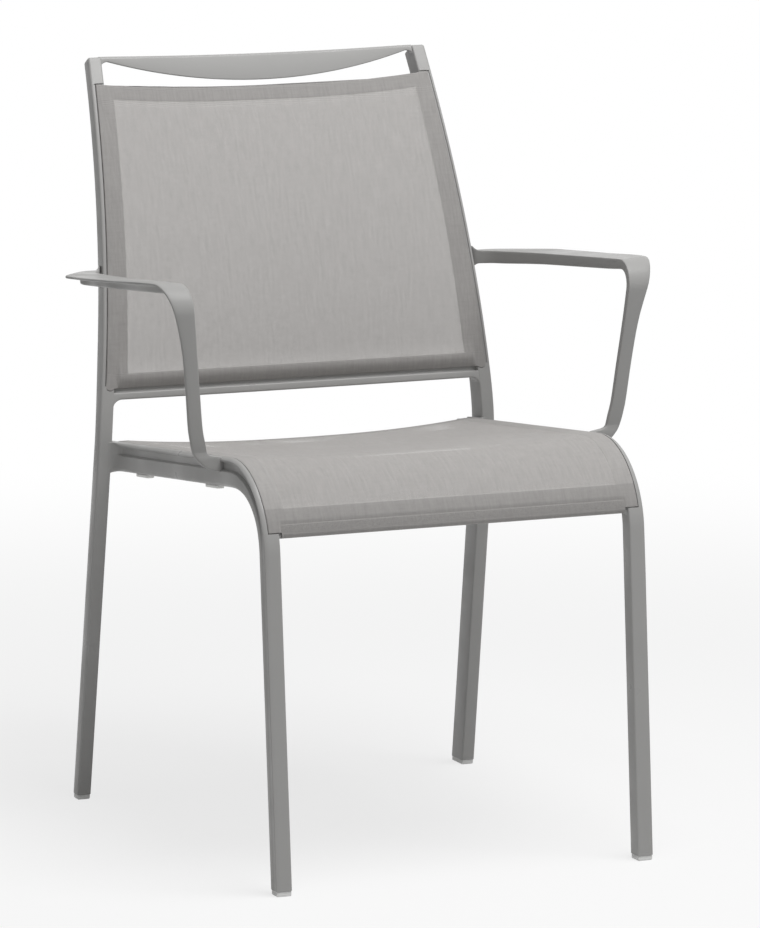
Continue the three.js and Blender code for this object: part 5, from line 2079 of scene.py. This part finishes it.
@dataclass
class Studio:
    """A pale floor, a soft lamp and the camera."""

    # where the camera stands in the guide lines' frame, how it is turned, and its picture in pixels
    camera_at: tuple[float, float, float] = (-2549.1, -5909.5, 1460.5)
    yaw: float = -0.402659244
    pitch: float = -0.160439037
    roll: float = -1.4316e-3
    focal_pixels: float = 5807.3
    principal: tuple[float, float] = (343.27, 463.81)
    frame_pixels: tuple[int, int] = (760, 928)
    sensor: float = 36.0
    world_light: float = 0.26
    # radii of the floor's rings, its paint, where it fades into white, and how much of it shows white
    floor_rings: tuple[float, ...] = (0.5, 1.5, 3.0, 4.0)
    floor_paint: float = 0.84
    floor_fade: tuple[float, float] = (0.9, 2.6)
    floor_glow: float = 0.74
    lamp_at: tuple[float, float, float] = (0.45, -0.95, 3.1)
    lamp_aim: tuple[float, float, float] = (0, 0, 0.45)
    lamp_size: float = 1.8
    lamp_watts: float = 78.0

    def camera(self) -> None:
        """Creates the camera of the photograph's view and makes it the scene's own."""
        data = bpy.data.cameras.new("Camera")
        wide, tall = self.frame_pixels
        data.sensor_width = self.sensor
        data.lens = self.focal_pixels / tall * self.sensor
        data.shift_x = (wide / 2 - self.principal[0]) / tall
        data.shift_y = (self.principal[1] - tall / 2) / tall
        data.clip_end = 100.0
        level = math.cos(self.pitch)
        sin, cos = math.sin(self.yaw), math.cos(self.yaw)
        forward = Vector((-sin * level, cos * level, math.sin(self.pitch)))
        right = Vector((cos, sin, 0))
        turn = Matrix.Rotation(self.roll, 3, "Z")
        axes = Matrix((right, right.cross(forward), -forward)).transposed() @ turn
        place = (Vector(self.camera_at) + Vector((0, FRAME_SHIFT, 0))) * MM
        camera = bpy.data.objects.new("Camera", data)
        camera.matrix_world = Matrix.Translation(place) @ axes.to_4x4()
        bpy.context.scene.collection.objects.link(camera)
        bpy.context.scene.camera = camera

    @staticmethod
    def seen(board: Board) -> bpy.types.NodeSocket:
        """1 for what the camera sees directly, in a mirror or through glass, and 0 for light on surfaces.

        Args:
            board: the board that the nodes go on.

        Returns:
            The result.
        """
        rays = board.add("LightPath").outputs
        straight = board.math("MAXIMUM", rays["Is Camera Ray"], rays["Is Glossy Ray"])
        return board.math("MAXIMUM", straight, rays["Is Transmission Ray"])

    def world(self) -> None:
        """A world that lights evenly and shows white."""
        world = bpy.data.worlds.new("Studio")
        bpy.context.scene.world = world
        world.use_nodes = True
        board = Board(world.node_tree)
        background = board.add("Background")
        light = (self.world_light,) * 3 + (1,)
        board.set(background, Color=board.blend(self.seen(board), light, (1, 1, 1, 1)))
        board.add("OutputWorld", Surface=background.outputs[0])

    def floor(self) -> None:
        """A round pale floor that fades into the white surroundings and keeps a faint shadow."""
        turn = whole_turn(96)
        radius = np.array(self.floor_rings)[:, None]
        rings = np.stack([radius * np.cos(turn), radius * np.sin(turn), 0 * radius * turn], -1)
        points = rings.reshape(-1, 3)
        index = np.arange(len(points)).reshape(len(radius), len(turn))
        turned = np.roll(index, -1, axis=1)
        quads = np.stack([index[:-1], index[1:], turned[1:], turned[:-1]], -1).reshape(-1, 4)
        mesh = bpy.data.meshes.new("floor")
        mesh.from_pydata(points.tolist(), [], [index[0].tolist(), *quads.tolist()])
        mesh.materials.append(self.floor_material())
        floor = bpy.data.objects.new("floor", mesh)
        bpy.context.scene.collection.objects.link(floor)

    def floor_material(self) -> bpy.types.Material:
        """The floor's paint, blended with plain white for what is seen and more so further out.

        Returns:
            The material.
        """
        material = bpy.data.materials.new("Pale floor")
        material.use_nodes = True
        board = Board(material.node_tree)
        paint = board.add("BsdfDiffuse", Color=(*(self.floor_paint,) * 3, 1))
        glow = board.add("Emission", Color=(1, 1, 1, 1), Strength=1.0)
        away = board.add("VectorMath", operation="LENGTH", Vector=board.add("TexCoord").outputs["Object"])
        fade = board.fade(away.outputs["Value"], *self.floor_fade)
        white = board.math("MULTIPLY_ADD", fade, 1 - self.floor_glow, self.floor_glow)
        share = board.math("MULTIPLY", self.seen(board), white)
        blend = board.run("MixShader", [share, paint.outputs[0], glow.outputs[0]])
        board.add("OutputMaterial", Surface=blend)
        return material

    def lamp(self) -> None:
        """Adds a square soft lamp that faces the middle of the chair."""
        data = bpy.data.lights.new("Key softbox", "AREA")
        data.shape = "SQUARE"
        data.size = self.lamp_size
        data.energy = self.lamp_watts
        lamp = bpy.data.objects.new("Key softbox", data)
        lamp.location = self.lamp_at
        towards = Vector(self.lamp_aim) - Vector(self.lamp_at)
        lamp.rotation_mode = "QUATERNION"
        lamp.rotation_quaternion = towards.to_track_quat("-Z", "Y")
        bpy.context.scene.collection.objects.link(lamp)

    def build(self) -> None:
        """Sets the whole studio up."""
        bpy.context.scene.view_settings.view_transform = "Standard"
        self.camera()
        self.world()
        self.floor()
        self.lamp()


def dress_rods(frame: dict, finishes: Finishes) -> None:
    """Gives the CAD rods that stay inside the channels their plastic.

    Args:
        finishes: the chair's finishes.
    """
    for side in Side:
        for node in ("back_sling_rod", "seat_sling_rod"):
            mesh = frame["nodes"][f"{side.word}_{node}"].data
            mesh.materials.clear()
            mesh.materials.append(finishes.rod)


def main() -> None:
    """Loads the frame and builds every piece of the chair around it."""
    logging.basicConfig(level=logging.INFO, format="%(name)s: %(message)s")
    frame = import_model()
    Studio().build()
    finishes = Finishes.make()
    rails = CrossRails()
    for part in (RearUpright(), SeatRail(), FootGlides(), Armrest(), rails, StackingPads(), BackSling()):
        part.build(finishes)
    SeatSling().build(finishes, rails)
    dress_rods(frame, finishes)
    bpy.context.view_layer.update()


if __name__ == "__main__":
    main()
